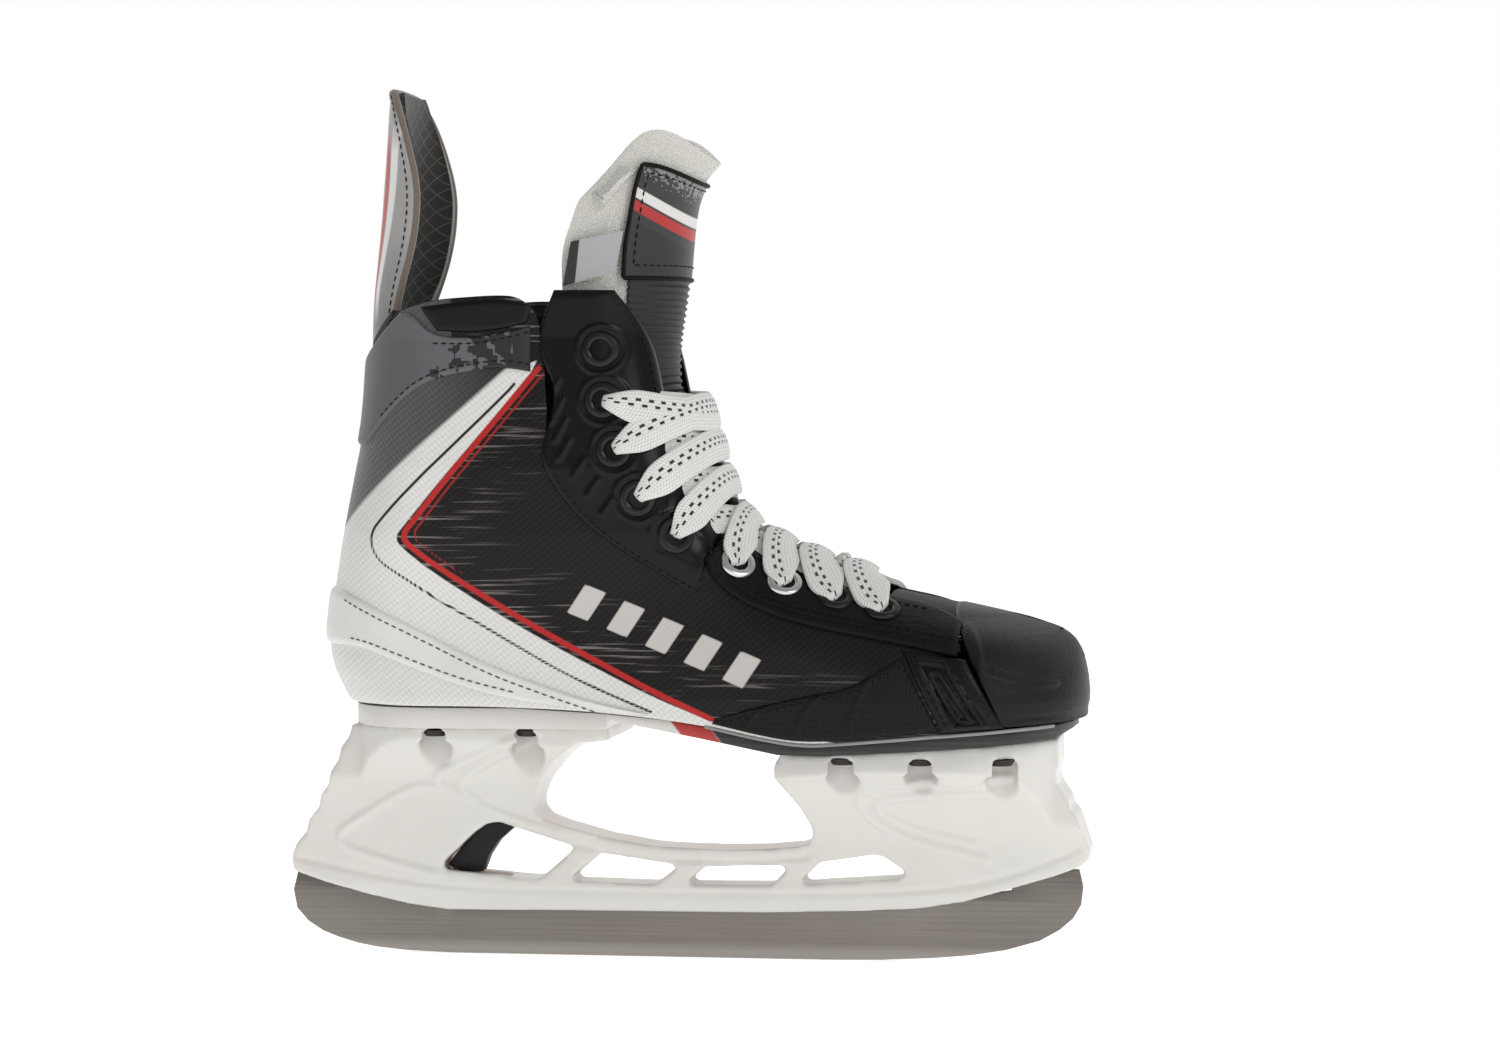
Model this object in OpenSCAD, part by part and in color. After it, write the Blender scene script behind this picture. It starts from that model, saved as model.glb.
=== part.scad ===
// One ice hockey skate: a lace-up boot with outsole, a plastic blade holder and a removable runner.
// +X points to the toe, +Y to the wearer's left, +Z up. The runner's flat bottom lies on Z = 0.

/* [Runner] */
// Thickness of the steel runner
runner_t = 3.0; // [2.8:0.1:3.2]
// How far the runner drops open on its front hook, degrees
release_deg = 7; // [5:1:8]

/* [Holder] */
// Side clearance between the runner and its slot in the holder
slot_gap = 0.2; // [0.1:0.05:0.3]
// Half width of the rear mounting flange
rear_flange_w = 25; // [24:0.5:26]
// Half width of the front mounting flange
front_flange_w = 31; // [30:0.5:32]
// Radius of the rivet pockets in the flanges
pocket_r = 5.0; // [4.5:0.1:5.2]
// Radius of the rivet shanks
rivet_r = 2.4; // [2:0.1:2.6]
// Thickness of the release trigger
trigger_t = 6.0; // [5:0.5:6.5]
// Radius of the trigger's pivot pin
pin_r = 1.5; // [1.3:0.1:1.7]

/* [Boot] */
// Thickness of the quarter shell
quarter_t = 2.4; // [2:0.1:3]
// Thickness of the overlays sewn onto the quarter
overlay_t = 1.2; // [0.9:0.1:1.4]
// Thickness of the ankle lining
lining_t = 4.5; // [3:0.5:5]
// Outer radius of the eyelet rings
eyelet_r = 5.8; // [5.2:0.1:6]
// Bore radius of the lace holes
lace_hole_r = 3.0; // [2.6:0.1:3.2]

/* [Laces, tongue and guard] */
// Width of the flat lace
lace_w = 10; // [8:0.5:11]
// Thickness of the flat lace
lace_t = 1.6; // [1.2:0.1:2]
// Thickness of the felt tongue
felt_t = 7; // [5:0.5:8]
// Thickness of the tendon guard's outer shell
guard_t = 2.2; // [1.8:0.1:2.6]

/* [Hidden] */
$fn = 48;

RIGHT = -1;
LEFT = 1;
FLAT = 0.3;  // clear gap between neighbouring layers

// ---- The boot's outer form, as a half width over the side view -------------------------------

// Back line: height to x
BACK = [[70, -104], [77, -105], [85, -109.5], [93, -113.3], [103, -114], [112, -112.8], [120, -111.2],
    [131, -109.2], [147, -105.9], [162, -102.6], [172, -100.9], [190, -99.6], [208, -98]];
// Toe line: height to x
TOE = [[68, 119], [74, 125.4], [82, 127], [92, 126.2], [100, 123.8], [104, 119.4], [108, 109]];
// Top line from the toe over the instep to the throat's top
TOP = [[124, 101.5], [119.4, 104], [109, 107.5], [94, 110.8], [78, 114], [62, 117.5], [45, 122.5],
    [30, 128.5], [18, 136], [12.5, 145], [9, 155], [6, 165], [3, 175], [0.5, 186], [-1, 196],
    [-0.5, 204], [0, 210]];
// Outward direction of the top line: x to angle above +X
TOP_LEAN = [[0, 14], [6, 17], [12, 24], [18, 45], [30, 62], [45, 70], [78, 78], [109, 72],
    [119, 50], [124, 25], [127, 5]];
// Half width near the sole: x to y
LOW_W = [[-110, 27], [-80, 30], [-50, 30.5], [-20, 30.5], [10, 33.5], [40, 38.5], [70, 42], [90, 42.3],
    [105, 41.5], [127, 38]];
// Half width of the shaft: height to y
SHAFT_W = [[95, 30.5], [115, 32.5], [135, 35], [155, 36], [175, 34.8], [195, 33.8], [210, 34.6]];
// Rounding depth under the top line: x to depth
TOP_R = [[-14, 20], [12, 20], [30, 24], [60, 28], [100, 26], [127, 22]];
TOE_R = 36;
HEEL_R = 29;

function mix(a, b, k) = a + (b - a) * k;
function clamp01(k) = min(1, max(0, k));
// Share of the full width a share k of the way in from an edge, full where p is large
function round_in(k, p = 2) = pow(1 - pow(1 - clamp01(k), p), 1 / p);
function from_segment(p, a, b) =
    let (d = b - a, k = clamp01(((p - a) * d) / (d * d))) norm(p - a - k * d);
function from_top(p) = min([for (i = [0 : len(TOP) - 2]) from_segment(p, TOP[i], TOP[i + 1])]);
function half_w(x, z) =
    let (shaft = clamp01((z - 95) / 40) * clamp01((60 - x) / 40),
         tuck = 2.5 * clamp01((84 - z) / 14))
    mix(lookup(x, LOW_W) - tuck, lookup(z, SHAFT_W), shaft);

// Point of the boot's surface, lifted o outwards, over side-view point p
function skin(p, o, side) =
    let (x = p[0], z = p[1],
         back = (x - lookup(z, BACK)) / HEEL_R,
         toe = (lookup(z, TOE) - x) / TOE_R,
         top = from_top(p) / lookup(x, TOP_R),
         lean = lookup(x, TOP_LEAN),
         up = 1 - clamp01(top),
         y = (half_w(x, z) + o) * round_in(back) * round_in(toe, 2.3) * round_in(top, 2.2))
    [x + o * (cos(lean) * up - (1 - clamp01(back)) + (1 - clamp01(toe)) * (1 - up)),
        side * y, z + o * sin(lean) * up];

// Point a share s of the way along a polyline, by its corners
function along(line, s) =
    let (k = min(clamp01(s) * (len(line) - 1), len(line) - 1.0001), i = floor(k))
    mix(line[i], line[i + 1], k - i);
// Point between two polylines: s along them, v across
function between(lo, hi, s, v) = mix(along(lo, s), along(hi, s), v);

// Grid of surface points on one side, between two side-view lines
function side_grid(lo, hi, n, m, o, side) =
    [for (j = [0 : m]) [for (i = [0 : n]) skin(between(lo, hi, i / n, j / m), o, side)]];
// Grid that runs from the right side over the instep to the left side. Both lines start on the top line,
// and the points are closer together there.
function wrap_grid(lo, hi, n, m, o) =
    [for (j = [0 : m]) concat(
        [for (i = [n : -1 : 1]) skin(between(lo, hi, 1 - cos(90 * i / n), j / m), o, RIGHT)],
        [for (i = [0 : n]) skin(between(lo, hi, 1 - cos(90 * i / n), j / m), o, i == 0 ? 0 : LEFT)])];
// The same round the heel. Each row is drawn to the back line, where it starts.
function from_heel(lo, hi, s, v) =
    let (p = between(lo, hi, s, v), b = between(lo, hi, 0, v))
    p + [(lookup(b[1], BACK) - b[0]) * pow(1 - s, 2), 0];
function heel_grid(lo, hi, n, m, o) =
    [for (j = [0 : m]) concat(
        [for (i = [n : -1 : 1]) skin(from_heel(lo, hi, 1 - cos(90 * i / n), j / m), o, RIGHT)],
        [for (i = [0 : n]) skin(from_heel(lo, hi, 1 - cos(90 * i / n), j / m), o, i == 0 ? 0 : LEFT)])];

// Closed solid between two grids of the same size
module layer(outer, inner, flip = false) {
    m = len(outer);
    n = len(outer[0]);
    function at(k, j, i) = k * m * n + j * n + i;
    skins = [for (j = [0 : m - 2]) for (i = [0 : n - 2]) each [
        [at(0, j, i), at(0, j, i + 1), at(0, j + 1, i + 1), at(0, j + 1, i)],
        [at(1, j, i), at(1, j + 1, i), at(1, j + 1, i + 1), at(1, j, i + 1)]]];
    ends = [for (i = [0 : n - 2]) each [
        [at(0, 0, i), at(1, 0, i), at(1, 0, i + 1), at(0, 0, i + 1)],
        [at(0, m - 1, i), at(0, m - 1, i + 1), at(1, m - 1, i + 1), at(1, m - 1, i)]]];
    sides = [for (j = [0 : m - 2]) each [
        [at(0, j, 0), at(0, j + 1, 0), at(1, j + 1, 0), at(1, j, 0)],
        [at(0, j, n - 1), at(1, j, n - 1), at(1, j + 1, n - 1), at(0, j + 1, n - 1)]]];
    faces = concat(skins, ends, sides);
    triangles = [for (f = faces) each [[f[0], f[1], f[2]], [f[0], f[2], f[3]]]];
    polyhedron(points = concat([for (row = outer) each row], [for (row = inner) each row]),
        faces = flip ? [for (t = triangles) [t[2], t[1], t[0]]] : triangles);
}

// Layer of the boot on one side, between two side-view lines, from lift a to lift b
module side_layer(lo, hi, n, m, a, b, side) {
    layer(side_grid(lo, hi, n, m, b, side), side_grid(lo, hi, n, m, a, side), side == LEFT);
}
module wrap_layer(lo, hi, n, m, a, b) {
    layer(wrap_grid(lo, hi, n, m, b), wrap_grid(lo, hi, n, m, a));
}
module heel_layer(lo, hi, n, m, a, b) {
    layer(heel_grid(lo, hi, n, m, b), heel_grid(lo, hi, n, m, a), true);
}

// ---- Holder and runner ------------------------------------------------------------------------

// Rear tower, beam and front tower, without the windows
HOLDER_SIDE = [[-104.5, 74], [-105.6, 70], [-108.5, 66.2], [-109, 62.8], [-111.8, 58.8], [-112.6, 55],
    [-115.8, 50.8], [-116.6, 47], [-120.2, 43], [-121, 39.4], [-124.7, 35], [-126.4, 31],
    [-126, 26.6], [-123.7, 25.6],
    [-115.5, 22.8], [-101.2, 18.8], [-87, 15.6], [-76.4, 14.3], [-18.9, 14.3], [25.7, 14.9], [53.8, 15.8],
    [74.9, 17.1], [88.9, 19.6], [102.7, 23.8], [116.4, 27.9], [124.8, 31.2], [127.4, 33.4], [127.8, 36.4],
    [123.7, 47.4], [121.6, 49.4], [121.6, 51.5], [118.1, 56.8], [117.7, 60.6], [118.6, 63], [118.4, 71.3],
    [111, 71.2], [94.2, 70.1], [68.6, 68.3], [48.2, 67], [34.5, 67.2], [32.3, 63.5], [32.3, 59.4],
    [35.6, 54.5], [39.1, 49],
    [41.6, 43.5], [41.9, 40], [40.5, 37.4], [37, 36.3], [25, 35.3], [12.6, 34.9], [-8.9, 35.8],
    [-24.3, 38.4],
    [-38, 42], [-44.5, 44.4], [-46.5, 47], [-46.7, 50.2], [-44.6, 55.7], [-39.3, 62.7], [-30.6, 69.2],
    [-20.3, 70], [-20.3, 74]];
WINDOWS = [
    [[-62.3, 42.3], [-58.1, 42.9], [-51.1, 40.6], [-34.6, 35.4], [-35, 34], [-45.4, 25], [-48.9, 24.7],
        [-76.3, 27.2], [-76.9, 29.6], [-66.5, 39.4]],
    [[-26.2, 33.4], [-2.1, 30], [-2.1, 28.7], [-8.8, 23.6], [-34.4, 24], [-36, 25]],
    [[7.1, 29.5], [32.8, 30.4], [33.1, 28.9], [28.3, 23.8], [2.8, 23.6], [1.6, 24.6]],
    [[43.7, 31.4], [61.2, 34.1], [64, 33.3], [69.6, 29.6], [70.1, 28.2], [68.3, 26.4], [38.5, 24.2],
        [37.5, 25.4]]];
// Half width by height, rear and front
REAR_SECTION = [[0, 75], [rear_flange_w, 75], [rear_flange_w, 70], [22.9, 68.9], [20.5, 66.5], [17.6, 63],
    [15, 59.4], [13, 56], [11.2, 51], [9.9, 46.5], [9, 41.5], [8.2, 36.5], [7.6, 31.5], [7.2, 26], [7, 22],
    [4.4, 14], [0, 14]];
FRONT_SECTION = [[0, 72], [front_flange_w, 72], [front_flange_w, 61.5], [28.8, 60.4], [26, 58.5],
    [22.8, 55.6], [19.6, 52.2], [16.6, 48.4], [13.8, 44.6], [11.4, 41], [9.7, 37.6], [8.6, 34.2], [7.8, 30],
    [7.2, 25.5], [7, 22], [4.4, 14], [0, 14]];
PIVOT = [108, 28];        // the runner swings on its front hook about here
TRIGGER_PIVOT = [-60.5, 48];
// Rivets by x and y. Each stands at its flange's edge, where its pocket is open to the side.
REAR_RIVETS = [[-75.4, 20.6], [-46.3, 18.8]];
FRONT_RIVETS = [[53.6, 26.2], [77.5, 27], [101.9, 25.2]];
REAR_HEAD_Z = 73.2;
FRONT_HEAD_Z = 66;

RUNNER_SIDE = [[-127.5, 19.6], [-126.4, 13.6], [-122.6, 9.4], [-118, 6.5], [-112.8, 4.5], [-106.2, 2.6],
    [-99.6, 1.5], [-90, 0.6], [-76, 0.1], [-62, 0], [44, 0], [62, 0.3], [78, 1.1], [90, 2.2],
    [101, 4], [111.6, 7.1],
    [117.8, 10.6], [122, 14.3], [124.4, 18.4], [125.1, 24], [123.9, 29.4], [120.5, 29.4], [113, 26.4],
    [113.4, 30],
    [110.5, 33], [105.5, 33], [102.5, 30], [103, 22.6], [89, 20.4], [60, 20.4], [-72, 20.4], [-76, 27],
    [-80, 31], [-86, 31], [-86, 28], [-82.5, 25], [-84, 20.4], [-108, 22], [-120, 25.5], [-126, 25.4]];

module side_plate(outline, t) {
    rotate([90, 0, 0])
        translate([0, 0, -t / 2])
            linear_extrude(t)
                polygon(outline);
}

// Prism along X with the given half section, from x0 to x1
module bar(section, x0, x1) {
    translate([x0, 0, 0])
        rotate([90, 0, 90])
            linear_extrude(x1 - x0)
                polygon(concat(section,
                    [for (i = [len(section) - 2 : -1 : 1]) [-section[i][0], section[i][1]]]));
}

// Plan outline of both flanges and the beam between them
module flange_plan() {
    linear_extrude(90)
        union() {
            rear = [for (a = [90 : 15 : 270]) [-79.5 + 26.5 * cos(a), rear_flange_w * sin(a)]];
            polygon(concat([[-20, -21]], [[-20, 21]], rear));
            front = [for (a = [-90 : 15 : 90]) [93 + 26 * cos(a), front_flange_w * sin(a)]];
            polygon(concat([[32, 27]], [[32, -27]], [[60, -front_flange_w]], front, [[60, front_flange_w]]));
            translate([-130, -13.5])
                square([262, 27]);
        }
}

module slot(outline, t) {
    for (a = [0, release_deg / 2, release_deg])
        translate([PIVOT[0], 0, PIVOT[1]])
            rotate([0, -a, 0])
                translate([-PIVOT[0], 0, -PIVOT[1]])
                    side_plate(outline, t);
}

module holder() {
    slot_w = runner_t + 2 * slot_gap;
    color([0.88, 0.87, 0.85])
        difference() {
            intersection() {
                side_plate(HOLDER_SIDE, 90);
                union() {
                    bar(REAR_SECTION, -130, 6);
                    bar(FRONT_SECTION, 6, 130);
                }
                flange_plan();
            }
            for (w = WINDOWS)
                side_plate(w, 40);
            // Slot for the runner, with pockets for its two hooks
            side_plate([[-130, 0], [-130, 27.4], [-121, 27.4], [-108, 23.4], [-98, 21.4], [90, 21.4],
                [130, 30], [130, 0]], slot_w);
            side_plate([[-88, 20], [-88, 33], [-70, 33], [-68, 20]], slot_w);
            side_plate([[96, 20], [96, 34], [102, 39], [114, 39], [119, 33], [126.2, 32.4], [126.2, 20]],
                slot_w);
            // Cavity for the trigger and its spring
            side_plate([[-79, 28], [-70, 52], [-66, 58], [-54, 58], [-50, 52], [-50, 41], [-62, 41],
                [-64, 28]], trigger_t + 0.8);
            side_plate([[-79, 31], [-79, 26], [-75, 23.6], [-56, 23.6], [-56, 31]], trigger_t + 0.8);
            translate([TRIGGER_PIVOT[0], 0, TRIGGER_PIVOT[1]])
                rotate([90, 0, 0])
                    cylinder(h = 16, r = pin_r, center = true);
            for (side = [RIGHT, LEFT]) {
                for (p = REAR_RIVETS)
                    rivet_cut(p[0], side * p[1], REAR_HEAD_Z);
                for (p = FRONT_RIVETS)
                    rivet_cut(p[0], side * p[1], FRONT_HEAD_Z);
            }
        }
}

module rivet_cut(x, y, head_z) {
    translate([x, y, 40])
        cylinder(h = head_z - 40, r = pocket_r);
    translate([x, y, 60])
        cylinder(h = 30, r = rivet_r);
}

module runner() {
    color([0.42, 0.40, 0.38])
        side_plate(RUNNER_SIDE, runner_t);
}

module trigger() {
    color([0.1, 0.1, 0.1])
        difference() {
            side_plate([[-76.4, 28.4], [-68.4, 38.6], [-65.6, 47], [-65, 51], [-61, 53.4], [-57, 52],
                [-55.4, 48], [-53.8, 41.5], [-59.6, 36.4], [-62.9, 31.6], [-65, 26.4],
                [-71, 26]], trigger_t);
            translate([TRIGGER_PIVOT[0], 0, TRIGGER_PIVOT[1]])
                rotate([90, 0, 0])
                    cylinder(h = 20, r = pin_r + 0.06, center = true);
            // The runner's rear hook passes between the trigger's two legs
            side_plate([[-80, 20], [-80, 34], [-71, 34], [-69, 28], [-60, 24], [-60, 20]], runner_t + 0.8);
        }
}

module trigger_pin() {
    color([0.6, 0.6, 0.6])
        translate([TRIGGER_PIVOT[0], 0, TRIGGER_PIVOT[1]])
            rotate([90, 0, 0])
                cylinder(h = 15, r = pin_r, center = true);
}

// Closed outer form of the small coil spring behind the trigger's head
module trigger_spring() {
    color([0.7, 0.7, 0.7])
        translate([-60.5, 0, 54])
            cylinder(h = 3.6, r = 2);
}

// Rivet with a domed head below and a flat washer on top of the insole board
module rivet(x, y, head_z, top_z) {
    translate([x, y, 0]) {
        translate([0, 0, head_z - 2])
            cylinder(h = 2, r1 = 3.2, r2 = 4.4);
        translate([0, 0, head_z])
            cylinder(h = top_z - head_z, r = rivet_r);
        translate([0, 0, top_z])
            cylinder(h = 0.5, r = 4);
    }
}

module rivets_rear() {
    color([0.3, 0.3, 0.3])
        for (side = [RIGHT, LEFT])
            for (p = REAR_RIVETS)
                rivet(p[0], side * p[1], REAR_HEAD_Z, 83.4);
}

module rivets_front() {
    color([0.3, 0.3, 0.3])
        for (side = [RIGHT, LEFT])
            for (p = FRONT_RIVETS)
                rivet(p[0], side * p[1], FRONT_HEAD_Z, board_z(p[0]) + 2.5);
}

// ---- Sole -------------------------------------------------------------------------------------

SOLE_LOW = [[-104.6, 74.1], [-20, 74.1], [-18.6, 77], [0, 73.7], [17.3, 70.7], [34.5, 67.5], [48.2, 67.3],
    [68.6, 68.6], [94.2, 70.4], [111, 71.5], [119, 72.6], [124, 75]];
SOLE_HIGH = [[123.4, 76.6], [102.7, 75.3], [77.1, 73.1], [51.6, 70.7], [42, 70], [28.3, 72.1], [15.4, 74.8],
    [0, 77.3], [-20, 79], [-48, 80.5], [-104.6, 80.5]];
// Height of the insole board's underside
BOARD = [[-104, 81.2], [-48, 81.2], [-20, 79.7], [0, 78], [15, 75.5], [28, 72.8], [42, 70.8], [52, 71.5],
    [77, 73.9], [103, 76.1], [124, 77.4]];
function board_z(x) = lookup(x, BOARD);

// Foot-shaped plan, in from the boot's own outline by the given amount
module sole_plan(inset, h) {
    heel = [for (a = [90 : 15 : 270]) [-79 + (26 - inset) * cos(a), (27.5 - inset) * sin(a)]];
    toe = [for (a = [-90 : 15 : 90]) [88 + (36 - inset) * cos(a), (39.5 - inset) * sin(a)]];
    linear_extrude(h)
        polygon(concat(heel, [[-20, inset - 27.5], [10, inset - 30.5], [40, inset - 35.5]], toe,
            [[40, 35.5 - inset], [10, 30.5 - inset], [-20, 27.5 - inset]]));
}

module outsole() {
    color([0.8, 0.8, 0.78])
        difference() {
            intersection() {
                side_plate(concat(SOLE_LOW, SOLE_HIGH), 90);
                sole_plan(0, 100);
            }
            rivet_bores();
        }
}

module rivet_bores() {
    for (side = [RIGHT, LEFT])
        for (p = concat(REAR_RIVETS, FRONT_RIVETS))
            translate([p[0], side * p[1], 60])
                cylinder(h = 40, r = rivet_r);
}

// Plate that follows the insole line, between two heights above it
module board_plate(inset, low, high) {
    xs = [-104, -48, -20, 0, 15, 28, 42, 52, 77, 103, 120];
    intersection() {
        side_plate(concat([for (x = xs) [x, board_z(x) + low]],
            [for (i = [len(xs) - 1 : -1 : 0]) [xs[i], board_z(xs[i]) + high]]), 90);
        sole_plan(inset, 120);
    }
}

module insole_board() {
    color([0.5, 0.45, 0.35])
        difference() {
            board_plate(3, 0, 2);
            rivet_bores();
        }
}

module footbed() {
    color([0.2, 0.2, 0.2])
        board_plate(5.5, 3.8, 7.2);
}

// ---- Quarter and overlays -----------------------------------------------------------------------

QUARTER_LOW = [[-99.7, 188.6], [-100.8, 176], [-103, 160], [-106.4, 145], [-109.5, 129.5], [-112.4, 114],
    [-113.9, 101], [-112, 90], [-107.5, 81.6], [-106.5, 81.5], [-103, 81.4], [-97, 81.3], [-88, 81.2],
    [-75, 81.2], [-56, 81.2], [-30, 80.3], [-5, 78.2], [14, 75.6], [28, 72.8], [42, 70.8], [60, 72],
    [80, 74],
    [100, 76.2]];
QUARTER_HIGH = [[-83, 203.6], [-72, 206.8], [-60, 207.6], [-52, 208], [-45, 207.6], [-39.5, 203],
    [-37.5, 196], [-37, 186], [-36, 174], [-36, 164], [-34, 154], [-31, 149], [-28, 145], [-24, 141],
    [-19, 137], [-10, 131], [0, 126], [12, 121], [25, 115], [42, 109], [58, 105.2], [74, 102], [89, 97.4]];

module quarter(side) {
    gap = 0.15;
    difference() {
        side_layer(QUARTER_LOW, QUARTER_HIGH, 44, 9, -quarter_t, 0, side);
        translate([-150, side == RIGHT ? -gap : -60 + gap, 60])
            cube([80, 60, 160]);
    }
}
module quarter_right() { color([0.2, 0.19, 0.19]) quarter(RIGHT); }
module quarter_left() { color([0.2, 0.19, 0.19]) quarter(LEFT); }

// Forefoot upper over the instep, under the facings
module vamp() {
    rear = [[67, 116.4], [66, 111], [65, 105.4]];
    front = [[84.6, 112.7], [87, 106], [89.5, 99.4]];
    color([0.12, 0.12, 0.12])
        difference() {
            wrap_layer(rear, front, 7, 3, -quarter_t, 0);
            for (side = [RIGHT, LEFT])
                on_skin(HOLES[8], -4, side)
                    cylinder(h = 8, r = lace_hole_r + 0.8);
        }
}

HEEL_BAND_HIGH = [[-112.6, 117.6], [-103.1, 116.6], [-90.1, 110.6], [-73, 102.5], [-56, 94.1], [-39.1, 88.1],
    [-22.2, 82.4], [-5.5, 79.2]];
HEEL_BAND_LOW = [[-113.9, 99.6], [-101, 99.6], [-94.4, 98.6], [-81.6, 93.7], [-64.5, 87.4], [-47.5, 83.4],
    [-30, 81.4], [-8, 79]];

module heel_overlay() {
    color([0.85, 0.84, 0.82])
        heel_layer(HEEL_BAND_LOW, HEEL_BAND_HIGH, 12, 2, FLAT, FLAT + overlay_t);
}

YOKE_HIGH = [[-99.7, 188.4], [-94, 193.2], [-88.4, 198.4], [-83.6, 202.6], [-79, 203.4], [-72, 195.4],
    [-57, 195], [-41, 198.6]];
YOKE_LOW = [[-102.4, 163], [-97, 161], [-90, 168.6], [-80, 178], [-72, 182.3], [-62, 184.6], [-50, 186],
    [-41, 184.4]];

module ankle_yoke() {
    color([0.3, 0.31, 0.32])
        heel_layer(YOKE_LOW, YOKE_HIGH, 12, 3, FLAT, FLAT + overlay_t);
}

module collar_badge(side) {
    side_layer([[-70.5, 197.2], [-60, 196.6], [-50, 197.4], [-42, 199.6]],
        [[-76, 204.6], [-64, 206], [-50, 207.2], [-40.5, 205]], 4, 1, FLAT, FLAT + overlay_t, side);
}
module collar_badge_right() { color([0.08, 0.08, 0.08]) collar_badge(RIGHT); }
module collar_badge_left() { color([0.08, 0.08, 0.08]) collar_badge(LEFT); }

// Padded lining of the ankle, in one piece round the heel
module ankle_lining() {
    rim_high = [[-99.8, 187], [-92, 193], [-80, 203.6], [-60, 206.4], [-44, 204]];
    rim_low = [[-112.8, 112], [-100, 112], [-86, 112], [-66, 114], [-44, 118]];
    color([0.1, 0.1, 0.1])
        heel_layer(rim_low, rim_high, 12, 6, -quarter_t - 5.5 * FLAT - lining_t, -quarter_t - 5.5 * FLAT);
}

// Facings carry the eyelets. Each runs beside the throat.
UPPER_REAR = [[-33.5, 209.4], [-38, 199], [-38.4, 189.2], [-33.6, 180], [-34.3, 172], [-37, 164], [-38, 156],
    [-30, 143.5], [-17, 131.6], [-7, 124.8]];
UPPER_FRONT = [[-15, 209.2], [-10, 202.4], [-6, 195], [-4, 188], [-2.4, 180], [-0.6, 171], [2, 162],
    [5.4, 153], [9.5, 145], [13.6, 137.5]];
LOWER_REAR = [[11.5, 127.6], [14.5, 120.6], [24, 113.4], [38, 108.3], [54, 104.6], [68, 102.2], [80, 99.6],
    [90, 97.6]];
LOWER_FRONT = [[17.5, 133.2], [24, 129.2], [33, 125.2], [44, 121], [56, 117.6], [68, 114.6], [80, 112.2],
    [90, 107.2]];

// Lace holes from the top one down: side-view place of each
UPPER_HOLES = [[-19.2, 191], [-18.3, 175.5], [-14.7, 160.5], [-7.6, 145.8], [3.2, 134.2]];
LOWER_HOLES = [[21.2, 124.6], [35.8, 118.4], [51.6, 113.8], [65.9, 110.4]];
HOLES = concat(UPPER_HOLES, LOWER_HOLES);

// Turns its children so that +Z points out of the boot's side at side-view point p
module on_skin(p, o, side) {
    e = 1.5;
    du = skin(p + [e, 0], 0, side) - skin(p - [e, 0], 0, side);
    dv = skin(p + [0, e], 0, side) - skin(p - [0, e], 0, side);
    n = (side == RIGHT ? 1 : -1) * cross(du, dv);
    u = n / norm(n);
    translate(skin(p, 0, side) + o * u)
        rotate([0, acos(u[2]), atan2(u[1], u[0])])
            children();
}

module facing(rear, front, holes, n, side) {
    difference() {
        side_layer(rear, front, n, 4, FLAT, FLAT + overlay_t, side);
        for (p = holes)
            on_skin(p, -2, side)
                cylinder(h = 6, r = lace_hole_r + 0.8);
    }
}
module upper_facing_right() {
    color([0.06, 0.06, 0.06]) facing(UPPER_REAR, UPPER_FRONT, UPPER_HOLES, 14, RIGHT);
}
module upper_facing_left() {
    color([0.06, 0.06, 0.06]) facing(UPPER_REAR, UPPER_FRONT, UPPER_HOLES, 14, LEFT);
}
module lower_facing_right() {
    color([0.1, 0.1, 0.1]) facing(LOWER_REAR, LOWER_FRONT, LOWER_HOLES, 12, RIGHT);
}
module lower_facing_left() {
    color([0.1, 0.1, 0.1]) facing(LOWER_REAR, LOWER_FRONT, LOWER_HOLES, 12, LEFT);
}

PANEL_LOW = [[14, 76.8], [28, 73.6], [42, 71.4], [60, 72.8], [85, 75.4]];
PANEL_HIGH = [[16, 78.4], [29, 82.4], [44, 86], [58, 88.4], [73, 98]];

module side_panel(side) {
    side_layer(PANEL_LOW, PANEL_HIGH, 16, 4, 2 * FLAT, 2 * FLAT + overlay_t, side);
}
module side_panel_right() { color([0.12, 0.12, 0.12]) side_panel(RIGHT); }
module side_panel_left() { color([0.12, 0.12, 0.12]) side_panel(LEFT); }

// Stiff slanted ribs between the side panel and the toe cap
module side_ribs(side) {
    side_layer([[87.3, 75.8], [94, 76.2], [100.4, 76.6]], [[75, 98.4], [82, 97.4], [88.4, 96.2]],
        6, 6, 2 * FLAT, 2 * FLAT + overlay_t, side);
}
module side_ribs_right() { color([0.08, 0.08, 0.08]) side_ribs(RIGHT); }
module side_ribs_left() { color([0.08, 0.08, 0.08]) side_ribs(LEFT); }

module toe_cap() {
    // Ridge from behind the toe over its tip down to the sole, and the matching low points
    ridge = [[86.2, 112.4], [94, 110.8], [102, 109.1], [109, 107.5], [114.6, 105.7], [119.4, 104],
        [123.8, 99.9], [125.8, 94], [126.8, 86], [126, 77.6]];
    low_start = [103.4, 77.2];
    low_step = [0.5, 0];
    rows = len(ridge) - 1;
    function at(j, i) = mix(ridge[j], low_start + j * low_step, 1 - cos(11.25 * i));
    function grid(o) = [for (j = [0 : rows]) concat(
        [for (i = [8 : -1 : 1]) skin(at(j, i), o, RIGHT)],
        [for (i = [0 : 8]) skin(at(j, i), o, i == 0 ? 0 : LEFT)])];
    color([0.07, 0.07, 0.07])
        layer(grid(0.4), grid(-2.2), false);
}

// ---- Eyelets and laces --------------------------------------------------------------------------

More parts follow.
